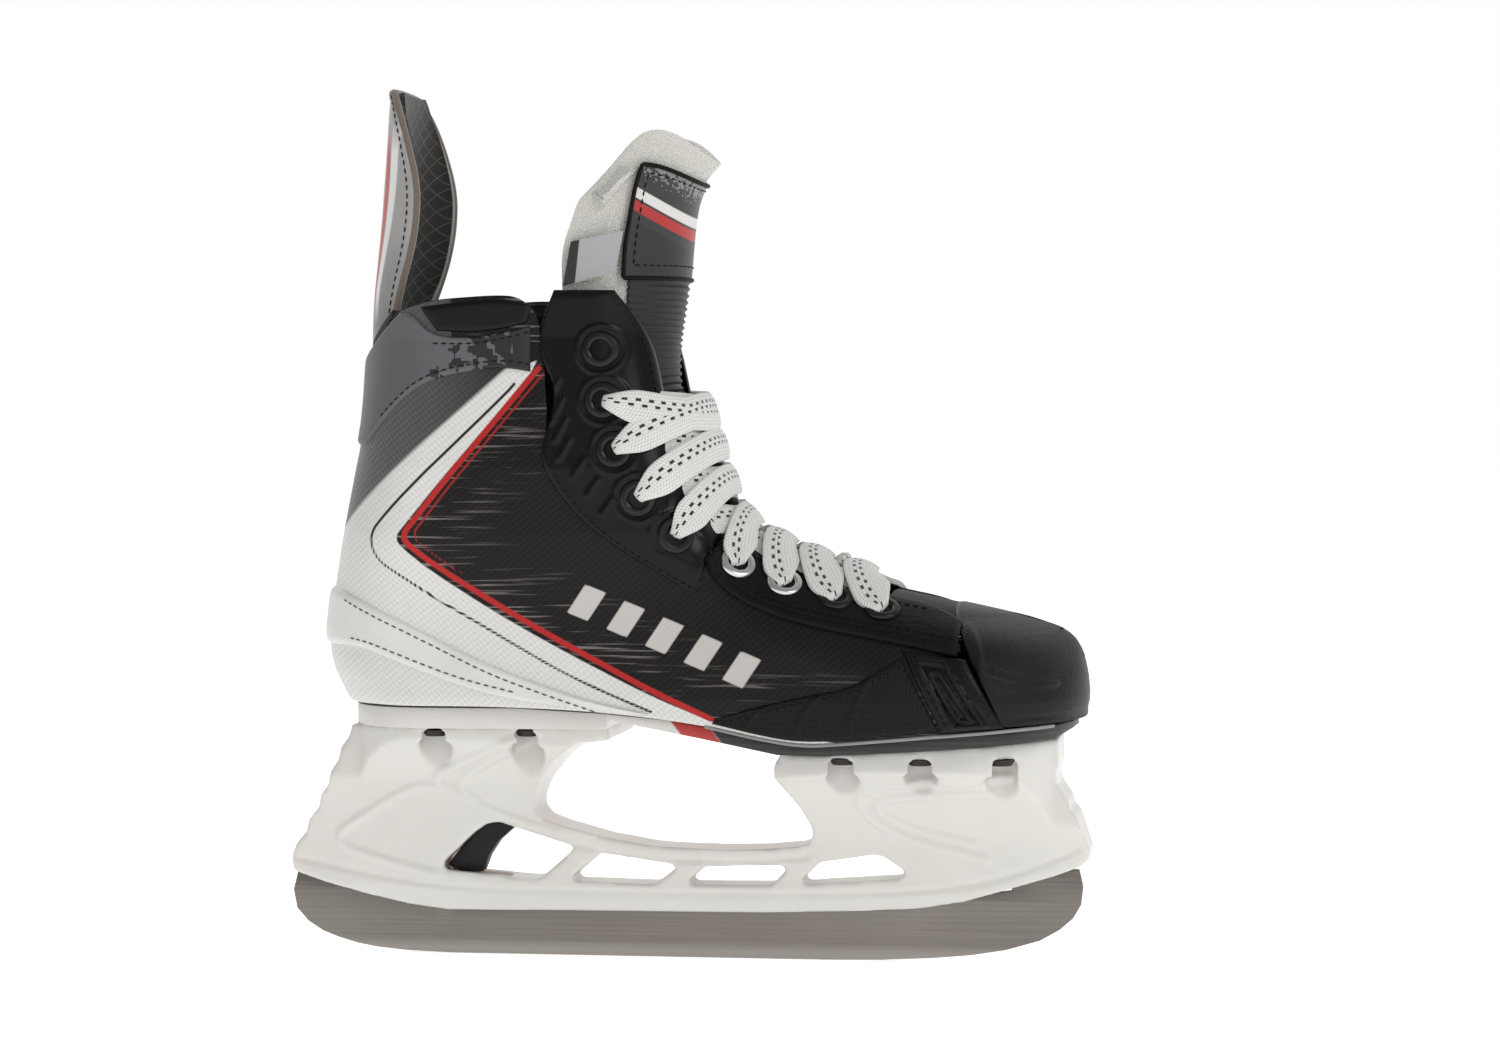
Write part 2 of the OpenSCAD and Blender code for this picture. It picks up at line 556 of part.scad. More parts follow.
module eyelet(p, side) {
    on_skin(p, FLAT, side)
        rotate_extrude()
            polygon([[lace_hole_r, -1.4], [lace_hole_r + 0.6, -1.4], [lace_hole_r + 0.6, overlay_t + 0.2],
                [eyelet_r, overlay_t + 0.2], [eyelet_r - 0.5, overlay_t + 1.2],
                [lace_hole_r + 0.8, overlay_t + 1.4], [lace_hole_r, overlay_t + 0.9]]);
}

module eyelets_black() {
    color([0.05, 0.05, 0.05])
        for (side = [RIGHT, LEFT])
            for (i = [0, 1, 2, 3, 4, 7, 8])
                eyelet(HOLES[i], side);
}

module eyelets_silver() {
    color([0.6, 0.6, 0.6])
        for (side = [RIGHT, LEFT])
            for (i = [5, 6])
                eyelet(HOLES[i], side);
}

// Height on the top line at which the lace between each pair of holes crosses it, from the second pair down
CREST_Z = [172, 159.6, 148, 138, 130.6, 125.2, 120.4, 116.6];
TOP_BY_Z = [for (p = TOP) [p[1], p[0]]];
function crest(z) = [lookup(z, TOP_BY_Z), z];
LACE_LIFT = 3.9;

// Flat band of lace between the holes at side-view place a, over the top line at height z
module lace(a, z) {
    n = 6;
    slope = crest(z + 2) - crest(z - 2);
    dz = slope[1] / norm(slope) * lace_w / 2;
    function edge(w, o) =
        let (r = crest(z + w * dz), d = r - a, start = a + [-d[1], d[0]] / norm(d) * lace_w * 0.42 * w)
        concat(
            [for (i = [n : -1 : 1]) skin(mix(start, r, cos(90 * i / n)), LACE_LIFT + o, RIGHT)],
            [for (i = [0 : n]) skin(mix(start, r, cos(90 * i / n)), LACE_LIFT + o, i == 0 ? 0 : LEFT)]);
    layer([edge(-1, lace_t), edge(1, lace_t)], [edge(-1, 0), edge(1, 0)]);
}

module laces() {
    color([0.9, 0.9, 0.9])
        for (i = [1 : 8])
            lace(HOLES[i], CREST_Z[i - 1]);
}

// ---- Tongue -------------------------------------------------------------------------------------

// Arched strip: each station is [x, z, lean of its outward side, half width, drop of its edges, rise of its
// shoulders]
function arch(stations, n, o, reach = 80) = [for (s = stations) [for (i = [0 : n])
    let (a = mix(-reach, reach, i / n), drop = s[4] * (1 - cos(a)) / (1 - cos(80)),
         y = (s[3] + o) * sin(a) / sin(80))
    [s[0] + cos(s[2]) * (o - drop), y, s[1] + sin(s[2]) * (o - drop) + s[5] * pow(sin(abs(a) * 2), 2)]]];

TONGUE_LOW = [[66, 112, 76, 20, 3, 0], [48, 116.4, 70, 24, 6, 0], [30.6, 122.8, 62, 26, 10, 0],
    [16, 131.6, 45, 27, 16, 0], [8.4, 142.4, 26, 27, 22, 0], [4.6, 154, 18, 27, 27, 0],
    [1, 166, 15, 27, 30, 0], [-1.6, 178, 11, 28, 32, 0], [-2, 190, 4, 28, 33, 0], [-0.8, 199, 0, 28, 34, 0]];
TONGUE_HIGH = [[-0.7, 199.8, -1.2, 28.4, 31, 0], [1, 210, 0.8, 29.5, 33, 0], [2, 222, 1.4, 30, 34, 0],
    [3, 232, 3, 30, 31.5, 0.5], [4.6, 239, 5, 29.5, 31, 1.75], [8, 244.5, 8, 28, 32, 3.5],
    [11.8, 249, 11, 26, 33, 5.5]];

// Thin panel that lies on the middle of the tongue's face
module arch_layer(stations) {
    layer(arch(stations, 8, 1.4, 50), arch(stations, 8, 0.2, 50), false);
}
module tongue_lower() {
    color([0.85, 0.85, 0.82])
        layer(arch(TONGUE_LOW, 8, 0), arch(TONGUE_LOW, 8, -felt_t), false);
}
module tongue_upper() {
    color([0.9, 0.9, 0.88])
        layer(arch(TONGUE_HIGH, 8, 0), arch(TONGUE_HIGH, 8, -felt_t), false);
}
module tongue_cap() {
    color([0.1, 0.1, 0.1])
        arch_layer([for (i = [1 : 5]) TONGUE_HIGH[i]]);
}
module tongue_panel() {
    color([0.1, 0.1, 0.1])
        arch_layer([for (i = [6 : 9]) TONGUE_LOW[i]]);
}
module size_tag() {
    color([0.5, 0.5, 0.5])
        translate([-26, -31.6, 220])
            rotate([0, 0, 3])
                cube([14, 0.8, 15], center = true);
}

// ---- Tendon guard -------------------------------------------------------------------------------

// Each station: height at the back, height at the wings, back x, half width, depth to the wings' front edge
GUARD = [[191.6, 206.4, -98.6, 23.5, 13.5], [199, 210, -98.4, 24.5, 14.5], [208, 215, -97.9, 26, 16],
    [219, 223, -96.7, 26.4, 17.6], [231, 232.5, -95.4, 26.4, 18.2], [243, 243, -94.4, 26.4, 17.4],
    [256, 256, -92.9, 25.4, 12], [266, 265.6, -91.8, 22.6, 7], [272.4, 271.4, -90.8, 17, 2.6]];

function guard_grid(o) = [for (g = GUARD) [for (i = [0 : 12])
    let (a = mix(-82, 82, i / 12), wing = 1 - cos(a))
    [g[2] - o + (g[4] + o) * wing, (g[3] + o) * sin(a), mix(g[0], g[1], wing)]]];

module guard_shell() {
    color([0.7, 0.7, 0.7])
        layer(guard_grid(0), guard_grid(-guard_t), true);
}
module guard_liner() {
    color([0.08, 0.08, 0.08])
        layer(guard_grid(-guard_t - 0.2), guard_grid(-guard_t - 3.2), true);
}

holder();
runner();
trigger();
trigger_pin();
trigger_spring();
rivets_rear();
rivets_front();
outsole();
insole_board();
footbed();
quarter_right();
quarter_left();
vamp();
ankle_lining();
heel_overlay();
ankle_yoke();
collar_badge_right();
collar_badge_left();
upper_facing_right();
upper_facing_left();
lower_facing_right();
lower_facing_left();
side_panel_right();
side_panel_left();
side_ribs_right();
side_ribs_left();
toe_cap();
eyelets_black();
eyelets_silver();
laces();
tongue_lower();
tongue_upper();
tongue_cap();
tongue_panel();
size_tag();
guard_shell();
guard_liner();
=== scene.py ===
"""An ice hockey skate: lace-up boot, moulded blade holder and trigger-released steel runner."""

import logging
import math
import random
from collections.abc import Iterator
from contextlib import contextmanager
from dataclasses import dataclass, field
from enum import Enum

import bpy
import numpy as np
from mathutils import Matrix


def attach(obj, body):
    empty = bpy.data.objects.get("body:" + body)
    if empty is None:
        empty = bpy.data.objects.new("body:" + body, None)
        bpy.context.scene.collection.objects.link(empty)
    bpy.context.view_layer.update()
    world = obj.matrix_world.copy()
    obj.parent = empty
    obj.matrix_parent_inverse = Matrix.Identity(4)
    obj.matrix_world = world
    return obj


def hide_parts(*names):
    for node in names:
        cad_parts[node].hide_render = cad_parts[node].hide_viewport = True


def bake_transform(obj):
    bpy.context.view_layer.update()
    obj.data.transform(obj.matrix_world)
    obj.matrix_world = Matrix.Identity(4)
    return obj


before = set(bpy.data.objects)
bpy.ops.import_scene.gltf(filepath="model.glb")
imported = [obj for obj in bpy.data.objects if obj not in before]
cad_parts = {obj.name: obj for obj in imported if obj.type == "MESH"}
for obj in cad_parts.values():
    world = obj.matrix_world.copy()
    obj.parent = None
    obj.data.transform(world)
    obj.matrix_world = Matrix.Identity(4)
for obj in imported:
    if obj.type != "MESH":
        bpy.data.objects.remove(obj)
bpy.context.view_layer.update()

MM = 0.001
TAU = 2 * math.pi
EDGE_SHARES = np.array([0, 0.12, 0.35, 0.65])
LOG = logging.getLogger("skate")
Line = list[tuple[float, float]]
Rows = np.ndarray
Colour = tuple[float, float, float, float]
Point = tuple[float, float, float]


class Side(Enum):
    """The two sides of the boot, as signs of Y."""

    RIGHT = -1
    LEFT = 1


# ---- Small tools --------------------------------------------------------------------------------


def deselect() -> None:
    """Leaves object mode with nothing selected."""
    if bpy.context.object and bpy.context.object.mode != "OBJECT":
        bpy.ops.object.mode_set(mode="OBJECT")
    bpy.ops.object.select_all(action="DESELECT")


def pick(obj: bpy.types.Object) -> None:
    """Makes obj the only selected and the active object."""
    deselect()
    obj.select_set(True)
    bpy.context.view_layer.objects.active = obj


@contextmanager
def editing(obj: bpy.types.Object) -> Iterator[None]:
    """Edit mode on obj, with its whole mesh selected."""
    pick(obj)
    bpy.ops.object.mode_set(mode="EDIT")
    bpy.ops.mesh.select_all(action="SELECT")
    yield
    bpy.ops.object.mode_set(mode="OBJECT")


def apply_modifier(obj: bpy.types.Object, kind: str, **settings: object) -> None:
    """Adds a modifier with these settings and applies it.

    Args:
        obj: the object that gets it.
        kind: the modifier's type.
        settings: its properties.
    """
    pick(obj)
    modifier = obj.modifiers.new(kind.lower(), kind)
    for name, value in settings.items():
        setattr(modifier, name, value)
    bpy.ops.object.modifier_apply(modifier=modifier.name)


def ease(obj: bpy.types.Object, width: float, segments: int = 2, degrees: float = 55.0) -> None:
    """Rounds every edge of obj that is sharper than an angle.

    Args:
        obj: the piece.
        width: the rounding in millimetres.
        segments: faces across it.
        degrees: the angle.
    """
    apply_modifier(obj, "BEVEL", width=width * MM, segments=segments, limit_method="ANGLE",
                   angle_limit=math.radians(degrees))


def smooth(obj: bpy.types.Object, degrees: float = 35.0) -> None:
    """Shades obj smooth, apart from edges sharper than the angle."""
    pick(obj)
    bpy.ops.object.shade_smooth_by_angle(angle=math.radians(degrees))


def linear(r: float, g: float, b: float) -> Colour:
    """A colour given in screen values from 0 to 255, as linear light."""
    shares = (r / 255, g / 255, b / 255)
    return (*(c / 12.92 if c <= 0.04045 else ((c + 0.055) / 1.055) ** 2.4 for c in shares), 1.0)


def darker(colour: Colour, share: float) -> Colour:
    """A share of a colour's light."""
    return tuple(c * share for c in colour[:3]) + (1.0,)


def chaikin(line: Line, times: int = 2) -> np.ndarray:
    """Cuts the corners of a polyline so that it runs as a soft curve.

    Args:
        line: its points.
        times: how often the corners are cut.

    Returns:
        The denser points, with the same two ends.
    """
    pts = np.array(line, dtype=float)
    for _ in range(times):
        a, b = pts[:-1], pts[1:]
        cut = np.empty((2 * len(a), pts.shape[1]))
        cut[0::2] = a * 0.75 + b * 0.25
        cut[1::2] = a * 0.25 + b * 0.75
        pts = np.vstack([pts[:1], cut[1:-1], pts[-1:]])
    return pts


def along(pts: np.ndarray, s: np.ndarray) -> np.ndarray:
    """Points of a polyline at shares s, from 0 to 1, counted by its corners."""
    k = np.clip(s, 0, 1) * (len(pts) - 1)
    steps = np.arange(len(pts))
    return np.stack([np.interp(k, steps, pts[:, i]) for i in range(pts.shape[1])], axis=-1)


def by_length(pts: np.ndarray, step: float) -> np.ndarray:
    """A polyline resampled at even steps of its length.

    Args:
        pts: its points.
        step: about how far apart the new points lie.

    Returns:
        The new points, with the same two ends.
    """
    runs = np.concatenate([[0], np.cumsum(np.linalg.norm(np.diff(pts, axis=0), axis=1))])
    n = max(2, int(round(runs[-1] / step)) + 1)
    t = np.linspace(0, runs[-1], n)
    return np.stack([np.interp(t, runs, pts[:, i]) for i in range(pts.shape[1])], axis=-1)


def distance_to(x: np.ndarray, z: np.ndarray, line: np.ndarray) -> np.ndarray:
    """Distance from side-view points to a polyline.

    Args:
        x: the points' places along the boot.
        z: their heights.
        line: the polyline.

    Returns:
        One distance for each point.
    """
    best = np.full(np.shape(x), 1e9)
    for a, b in zip(line[:-1], line[1:]):
        d = b - a
        k = np.clip(((x - a[0]) * d[0] + (z - a[1]) * d[1]) / max(d @ d, 1e-9), 0, 1)
        best = np.minimum(best, np.hypot(x - a[0] - k * d[0], z - a[1] - k * d[1]))
    return best


def inside(x: np.ndarray, z: np.ndarray, outline: Line) -> np.ndarray:
    """Which side-view points lie within a closed outline.

    Args:
        x: the points' places along the boot.
        z: their heights.
        outline: its corners.

    Returns:
        True or false for each point.
    """
    hit = np.zeros(np.shape(x), dtype=bool)
    pts = list(outline)
    for (x0, z0), (x1, z1) in zip(pts, pts[1:] + pts[:1]):
        if z0 == z1:
            continue
        crosses = (z0 > z) != (z1 > z)
        hit ^= crosses & (x < (x1 - x0) * (z - z0) / (z1 - z0) + x0)
    return hit


def signed(x: np.ndarray, z: np.ndarray, outline: Line) -> np.ndarray:
    """Distance from side-view points to a closed outline.

    Args:
        x: the points' places along the boot.
        z: their heights.
        outline: its corners.

    Returns:
        One distance for each point, below zero within the outline.
    """
    pts = np.array(list(outline) + [outline[0]], dtype=float)
    d = distance_to(x, z, pts)
    return np.where(inside(x, z, outline), -d, d)


def spaced(n: int, size: float, border: float) -> np.ndarray:
    """Shares from 0 to 1 with extra places near both ends, where an edge is rounded.

    Args:
        n: how many even steps there are in between.
        size: the whole length in millimetres.
        border: the width of the rounded edge in millimetres.

    Returns:
        The shares, rising.
    """
    b = min(border / max(size, 1e-6), 0.3)
    edge = b * EDGE_SHARES
    return np.concatenate([edge, np.linspace(b, 1 - b, n), 1 - edge[::-1]])


def shifted(line: Line, dx: float, dz: float) -> Line:
    """A side-view line, moved."""
    return [(x + dx, z + dz) for x, z in line]


def edge_round(d: np.ndarray, border: float) -> np.ndarray:
    """Height share of a rounded edge at distance d in from it."""
    return np.sqrt(np.clip(1 - (1 - np.clip(d / border, 0, 1)) ** 2, 0, 1))


def borders(rows: Rows) -> list[np.ndarray]:
    """The four outer lines of a grid of points."""
    return [rows[0], rows[-1], rows[:, 0], rows[:, -1]]


# ---- The boot's form ----------------------------------------------------------------------------


class BootForm:
    """The boot's outer surface, given as a half width over the side view, in millimetres."""

    back = chaikin([
        (70, -104), (77, -105), (85, -109.5), (93, -113.3), (103, -114), (112, -112.8),
        (120, -111.2), (131, -109.2), (147, -105.9), (162, -102.6), (172, -100.9), (190, -99.6),
        (208, -98),
    ], 1)
    toe = chaikin([(68, 119), (74, 125.4), (82, 127), (92, 126.2), (100, 123.8), (104, 119.4), (108, 109)], 1)
    top = chaikin([
        (124, 101.5), (119.4, 104), (109, 107.5), (94, 110.8), (78, 114), (62, 117.5), (45, 122.5),
        (30, 128.5), (18, 136), (12.5, 145), (9, 155), (6, 165), (3, 175), (0.5, 186), (-1, 196),
        (-0.5, 204), (0, 210),
    ], 2)
    lean_x = (0, 6, 12, 18, 30, 45, 78, 109, 119, 124, 127)
    lean_a = (14, 17, 24, 45, 62, 70, 78, 72, 50, 25, 5)
    low_x = (-110, -80, -50, -20, 10, 40, 70, 90, 105, 127)
    low_w = (27, 30, 30.5, 30.5, 33.5, 38.5, 42, 42.3, 41.5, 38)
    shaft_z = (95, 115, 135, 155, 175, 195, 210)
    shaft_w = (30.5, 32.5, 35, 36, 34.8, 33.8, 34.6)
    round_x = (-14, 12, 30, 60, 100, 127)
    round_r = (20, 20, 24, 28, 26, 22)
    toe_r = 36.0
    heel_r = 29.0

    @classmethod
    def back_x(cls, z: np.ndarray) -> np.ndarray:
        """The back line's x at height z."""
        return np.interp(z, cls.back[:, 0], cls.back[:, 1])

    @classmethod
    def crest(cls, z: float) -> np.ndarray:
        """The top line's side-view point at height z."""
        return np.array([np.interp(z, cls.top[:, 1], cls.top[:, 0]), z])

    @staticmethod
    def inward(k: np.ndarray, p: float) -> np.ndarray:
        """Share of the full width a share k of the way in from an edge."""
        return (1 - (1 - np.clip(k, 0, 1)) ** p) ** (1 / p)

    @classmethod
    def skin(cls, x: np.ndarray, z: np.ndarray, lift: np.ndarray | float,
             side: np.ndarray | float) -> np.ndarray:
        """Surface points over side-view points.

        Args:
            x: side-view places along the boot.
            z: side-view heights.
            lift: how far out of the surface the points lie.
            side: -1 for the right side, 1 for the left, 0 for the middle line.

        Returns:
            The points in metres, in a last axis of three.
        """
        x, z = np.asarray(x, dtype=float), np.asarray(z, dtype=float)
        back = (x - cls.back_x(z)) / cls.heel_r
        toe = (np.interp(z, cls.toe[:, 0], cls.toe[:, 1]) - x) / cls.toe_r
        over = distance_to(x, z, cls.top) / np.interp(x, cls.round_x, cls.round_r)
        lean = np.radians(np.interp(x, cls.lean_x, cls.lean_a))
        shaft = np.clip((z - 95) / 40, 0, 1) * np.clip((60 - x) / 40, 0, 1)
        shaft = shaft * shaft * (3 - 2 * shaft)
        low = np.interp(x, cls.low_x, cls.low_w) - 2.5 * np.clip((84 - z) / 14, 0, 1)
        width = low + (np.interp(z, cls.shaft_z, cls.shaft_w) - low) * shaft
        up = 1 - np.clip(over, 0, 1)
        y = (width + lift) * cls.inward(back, 2) * cls.inward(toe, 2.3) * cls.inward(over, 2.2)
        px = x + lift * (np.cos(lean) * up - (1 - np.clip(back, 0, 1)) + (1 - np.clip(toe, 0, 1)) * (1 - up))
        pz = z + lift * np.sin(lean) * up
        return np.stack([px, np.asarray(side) * y, pz], axis=-1) * MM


@dataclass
class Layer:
    """A layer of the boot between two side-view lines of the same number of points.

    Args:
        low: the line that the rows start from.
        high: the line that the rows end at.
        columns: steps along the lines.
        steps: steps between the lines.
        base: lift of the layer's edges.
        rise: lift of the layer's face above its edges.
        border: width of the rounded edge.
    """

    low: Line
    high: Line
    columns: int = 60
    steps: int = 24
    base: float = 0.0
    rise: float = 1.2
    border: float = 1.4

    def ends(self) -> tuple[np.ndarray, np.ndarray]:
        """Both lines as soft curves."""
        return chaikin(self.low), chaikin(self.high)

    def lengths(self) -> tuple[float, float]:
        """Mean length along the lines and between them, in millimetres."""
        a, b = self.ends()
        runs = [np.linalg.norm(np.diff(line, axis=0), axis=1).sum() for line in (a, b)]
        return float(sum(runs) / 2), float(np.linalg.norm(a - b, axis=1).mean())

    def side(self, side: Side,
             emboss: "Emboss | Reliefs | None" = None) -> tuple[Rows, np.ndarray, np.ndarray]:
        """Points of the layer on one side.

        Args:
            side: which side.
            emboss: adds height to the face.

        Returns:
            The rows of points, and the side-view x and z of each.
        """
        a, b = self.ends()
        length, depth = self.lengths()
        s = spaced(self.columns, length, self.border)
        v = spaced(self.steps, depth, self.border)
        p = along(a, s)[None] * (1 - v[:, None, None]) + along(b, s)[None] * v[:, None, None]
        z = p[..., 1]
        x = np.maximum(p[..., 0], BootForm.back_x(z))
        to_edge = np.minimum(np.minimum(s, 1 - s)[None] * length, np.minimum(v, 1 - v)[:, None] * depth)
        lift = self.base + self.rise * edge_round(to_edge, self.border)
        if emboss:
            lift = lift + emboss.height(x, z) * np.clip(to_edge / self.border, 0, 1)
        return BootForm.skin(x, z, lift, side.value), x, z

    def wrapped(self, heel: bool,
                emboss: "Emboss | Reliefs | None" = None) -> tuple[Rows, np.ndarray, np.ndarray]:
        """Points of a layer that runs round the heel or over the instep, where both its lines start.

        Args:
            heel: whether it runs round the heel.
            emboss: adds height to the face.

        Returns:
            The rows of points, and the side-view x and z of each.
        """
        a, b = self.ends()
        length, depth = self.lengths()
        t = np.linspace(1, 0, self.columns)
        half = 1 - np.cos(t * np.pi / 2)
        half = np.concatenate([1 - EDGE_SHARES * self.border / length, half[half < 1 - self.border / length]])
        s = np.concatenate([half, half[-2::-1]])
        sides = np.concatenate([-np.ones(len(half) - 1), [0], np.ones(len(half) - 1)])
        v = spaced(self.steps, depth, self.border)
        p = along(a, s)[None] * (1 - v[:, None, None]) + along(b, s)[None] * v[:, None, None]
        if heel:
            start = a[0][None] * (1 - v[:, None]) + b[0][None] * v[:, None]
            pull = BootForm.back_x(start[:, 1]) - start[:, 0]
            p[..., 0] += pull[:, None] * (1 - s[None]) ** 2
        x, z = p[..., 0], p[..., 1]
        to_edge = np.minimum((1 - s)[None] * length, np.minimum(v, 1 - v)[:, None] * depth)
        lift = self.base + self.rise * edge_round(to_edge, self.border)
        if emboss:
            lift = lift + emboss.height(x, z) * np.clip(to_edge / self.border, 0, 1)
        return BootForm.skin(x, z, lift, sides[None, :]), x, z


@dataclass
class Emboss:
    """Raised or sunk lines on a layer, given as side-view polylines.

    Args:
        lines: the polylines.
        width: half width of each line.
        rise: how far it stands up, below zero for a groove.
        soft: how often the polylines' corners are cut.
    """

    lines: list[Line]
    width: float = 1.0
    rise: float = 0.5
    soft: int = 1

    def height(self, x: np.ndarray, z: np.ndarray) -> np.ndarray:
        """Height that the lines add at side-view points."""
        total = np.zeros(np.shape(x))
        for line in self.lines:
            d = distance_to(x, z, chaikin(line, self.soft))
            total = np.maximum(total, np.clip(1 - (d / self.width) ** 2, 0, 1))
        return total * self.rise


@dataclass
class Reliefs:
    """Several embossings on one layer."""

    parts: list[Emboss]

    def height(self, x: np.ndarray, z: np.ndarray) -> np.ndarray:
        """Their heights, added up."""
        return sum(part.height(x, z) for part in self.parts)


# ---- Making meshes ------------------------------------------------------------------------------


def sheet(name: str, rows: Rows, wall: float, face: Point | None = None) -> bpy.types.Object:
    """Lays a grid primitive over rows of points and gives it a wall.

    Args:
        name: the piece's name.
        rows: points in metres, row by row.
        wall: the wall's thickness in millimetres, 0 for none.
        face: the direction that its outer side looks in, where it isn't simply away from the middle.

    Returns:
        The new object.
    """
    m, n = rows.shape[:2]
    deselect()
    bpy.ops.mesh.primitive_grid_add(x_subdivisions=n - 1, y_subdivisions=m - 1, size=1)
    obj = bpy.context.object
    obj.name = obj.data.name = name
    flat = rows.reshape(-1, 3)
    obj.data.vertices.foreach_set("co", flat.astype(np.float32).ravel())
    obj.data.update()
    centre = flat.mean(axis=0) * np.array([1, 0, 1])
    faces = obj.data.polygons
    normals = np.empty(len(faces) * 3)
    centres = np.empty(len(faces) * 3)
    faces.foreach_get("normal", normals)
    faces.foreach_get("center", centres)
    look = centres.reshape(-1, 3) - centre if face is None else np.array(face)
    if (normals.reshape(-1, 3) * look).sum() < 0:
        with editing(obj):
            bpy.ops.mesh.flip_normals()
    if wall:
        apply_modifier(obj, "SOLIDIFY", thickness=wall * MM, offset=-1)
    smooth(obj, 40)
    return obj


def mark(obj: bpy.types.Object, name: str, values: np.ndarray) -> None:
    """Stores a value at each point of a sheet that has no wall yet.

    Args:
        obj: the sheet.
        name: the attribute's name.
        values: one value for each point, row by row.
    """
    attribute = obj.data.attributes.new(name, "FLOAT", "POINT")
    attribute.data.foreach_set("value", values.astype(np.float32).ravel())


def from_node(name: str, node: str, bevel: float = 0.3, angle: float = 30.0) -> bpy.types.Object:
    """Copies a CAD node into a welded mesh with eased edges.

    Args:
        name: the new piece's name.
        node: the node it stands for.
        bevel: width of the eased edges in millimetres, 0 for none.
        angle: edges sharper than this are eased.

    Returns:
        The new piece, which replaces the node.
    """
    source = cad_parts[node]
    mesh = source.data.copy()
    mesh.materials.clear()
    obj = bpy.data.objects.new(name, mesh)
    mesh.name = name
    bpy.context.scene.collection.objects.link(obj)
    obj.matrix_world = source.matrix_world.copy()
    pick(obj)
    bpy.ops.object.transform_apply(location=True, rotation=True, scale=True)
    with editing(obj):
        bpy.ops.mesh.remove_doubles(threshold=0.00001)
        bpy.ops.mesh.dissolve_limited(angle_limit=math.radians(1.0))
    if bevel:
        ease(obj, bevel, degrees=angle)
    smooth(obj, angle)
    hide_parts(node)
    return obj


def bead() -> tuple[np.ndarray, list[list[int]]]:
    """A small stitch, one unit long, that is copied many times.

    Returns:
        Its points, with its length along X, and its faces.
    """
    deselect()
    bpy.ops.mesh.primitive_uv_sphere_add(segments=6, ring_count=4, radius=0.5)
    obj = bpy.context.object
    pts = np.array([v.co[:] for v in obj.data.vertices])[:, [2, 0, 1]]
    faces = [list(p.vertices) for p in obj.data.polygons]
    bpy.data.objects.remove(obj)
    return pts, faces


def closed_mesh(name: str, points: np.ndarray, faces: list[list[int]]) -> bpy.types.Object:
    """A mesh of closed shapes, with its faces turned outwards.

    Args:
        name: the mesh's name.
        points: in metres.
        faces: the points of each face, by number.

    Returns:
        The new object.
    """
    mesh = bpy.data.meshes.new(name)
    mesh.from_pydata(points.tolist(), [], faces)
    mesh.update()
    obj = bpy.data.objects.new(name, mesh)
    bpy.context.scene.collection.objects.link(obj)
    with editing(obj):
        bpy.ops.mesh.normals_make_consistent(inside=False)
    smooth(obj, 60)
    return obj


def stitches(name: str, seams: list[np.ndarray], pitch: float = 2.6, length: float = 1.9,
             width: float = 0.55) -> bpy.types.Object:
    """Rows of sewn stitches along paths on the surface.

    Args:
        name: the mesh's name.
        seams: paths as points in metres.
        pitch: distance from stitch to stitch in millimetres.
        length: length of a stitch.
        width: its width.

    Returns:
        The new object.
    """
    shape, faces = bead()
    shape = shape * np.array([length, width, width * 0.8]) * MM
    copies = []
    for path in seams:
        pts = by_length(path, pitch * MM)
        for a, b in zip(pts[:-1], pts[1:]):
            t = (b - a) / max(np.linalg.norm(b - a), 1e-9)
            n = np.array([0.0, np.sign(a[1]) or 1.0, 0.15])
            n = n - (n @ t) * t
            n /= np.linalg.norm(n)
            copies.append(shape @ np.stack([t, np.cross(n, t), n]) + (a + b) / 2)
    numbers = [[i + k * len(shape) for i in f] for k in range(len(copies)) for f in faces]
    return closed_mesh(name, np.concatenate(copies), numbers)


def seam(line: Line, side: Side, lift: float, soft: int = 2) -> np.ndarray:
    """A path on the boot's side over a side-view line."""
    pts = by_length(chaikin(line, soft), 1.0)
    return BootForm.skin(pts[:, 0], pts[:, 1], lift, side.value)


def both(line: Line, lift: float, soft: int = 2) -> list[np.ndarray]:
    """The same path on both sides."""
    return [seam(line, side, lift, soft) for side in Side]


def cord_mesh(name: str, paths: list[np.ndarray], radius: float, flat: float = 1.0,
              sides: int = 8) -> bpy.types.Object:
    """Round piping along paths, as one mesh.

    Args:
        name: the mesh's name.
        paths: points in metres.
        radius: in millimetres.
        flat: height over width.
        sides: points round it.

    Returns:
        The new object.
    """
    verts: list[np.ndarray] = []
    faces: list[list[int]] = []
    for path in paths:
        base = sum(len(v) for v in verts)
        tangent = np.gradient(path, axis=0)
        tangent /= np.linalg.norm(tangent, axis=1)[:, None]
        out = path - path.mean(axis=0) * np.array([1, 0, 1])
        out -= (out * tangent).sum(axis=1)[:, None] * tangent
        out /= np.maximum(np.linalg.norm(out, axis=1)[:, None], 1e-9)
        across = np.cross(tangent, out)
        for k in range(sides):
            angle = TAU * k / sides
            verts.append(path + (across * math.cos(angle) + out * math.sin(angle) * flat) * radius * MM)
        n = len(path)
        lines = [base + (k % sides) * n for k in range(sides + 1)]
        for a, b in zip(lines[:-1], lines[1:]):
            faces += [[a + i, a + i + 1, b + i + 1, b + i] for i in range(n - 1)]
        faces += [lines[:-1], [a + n - 1 for a in lines[:-1]]]
    return closed_mesh(name, np.concatenate(verts), faces)


# ---- Materials ----------------------------------------------------------------------------------


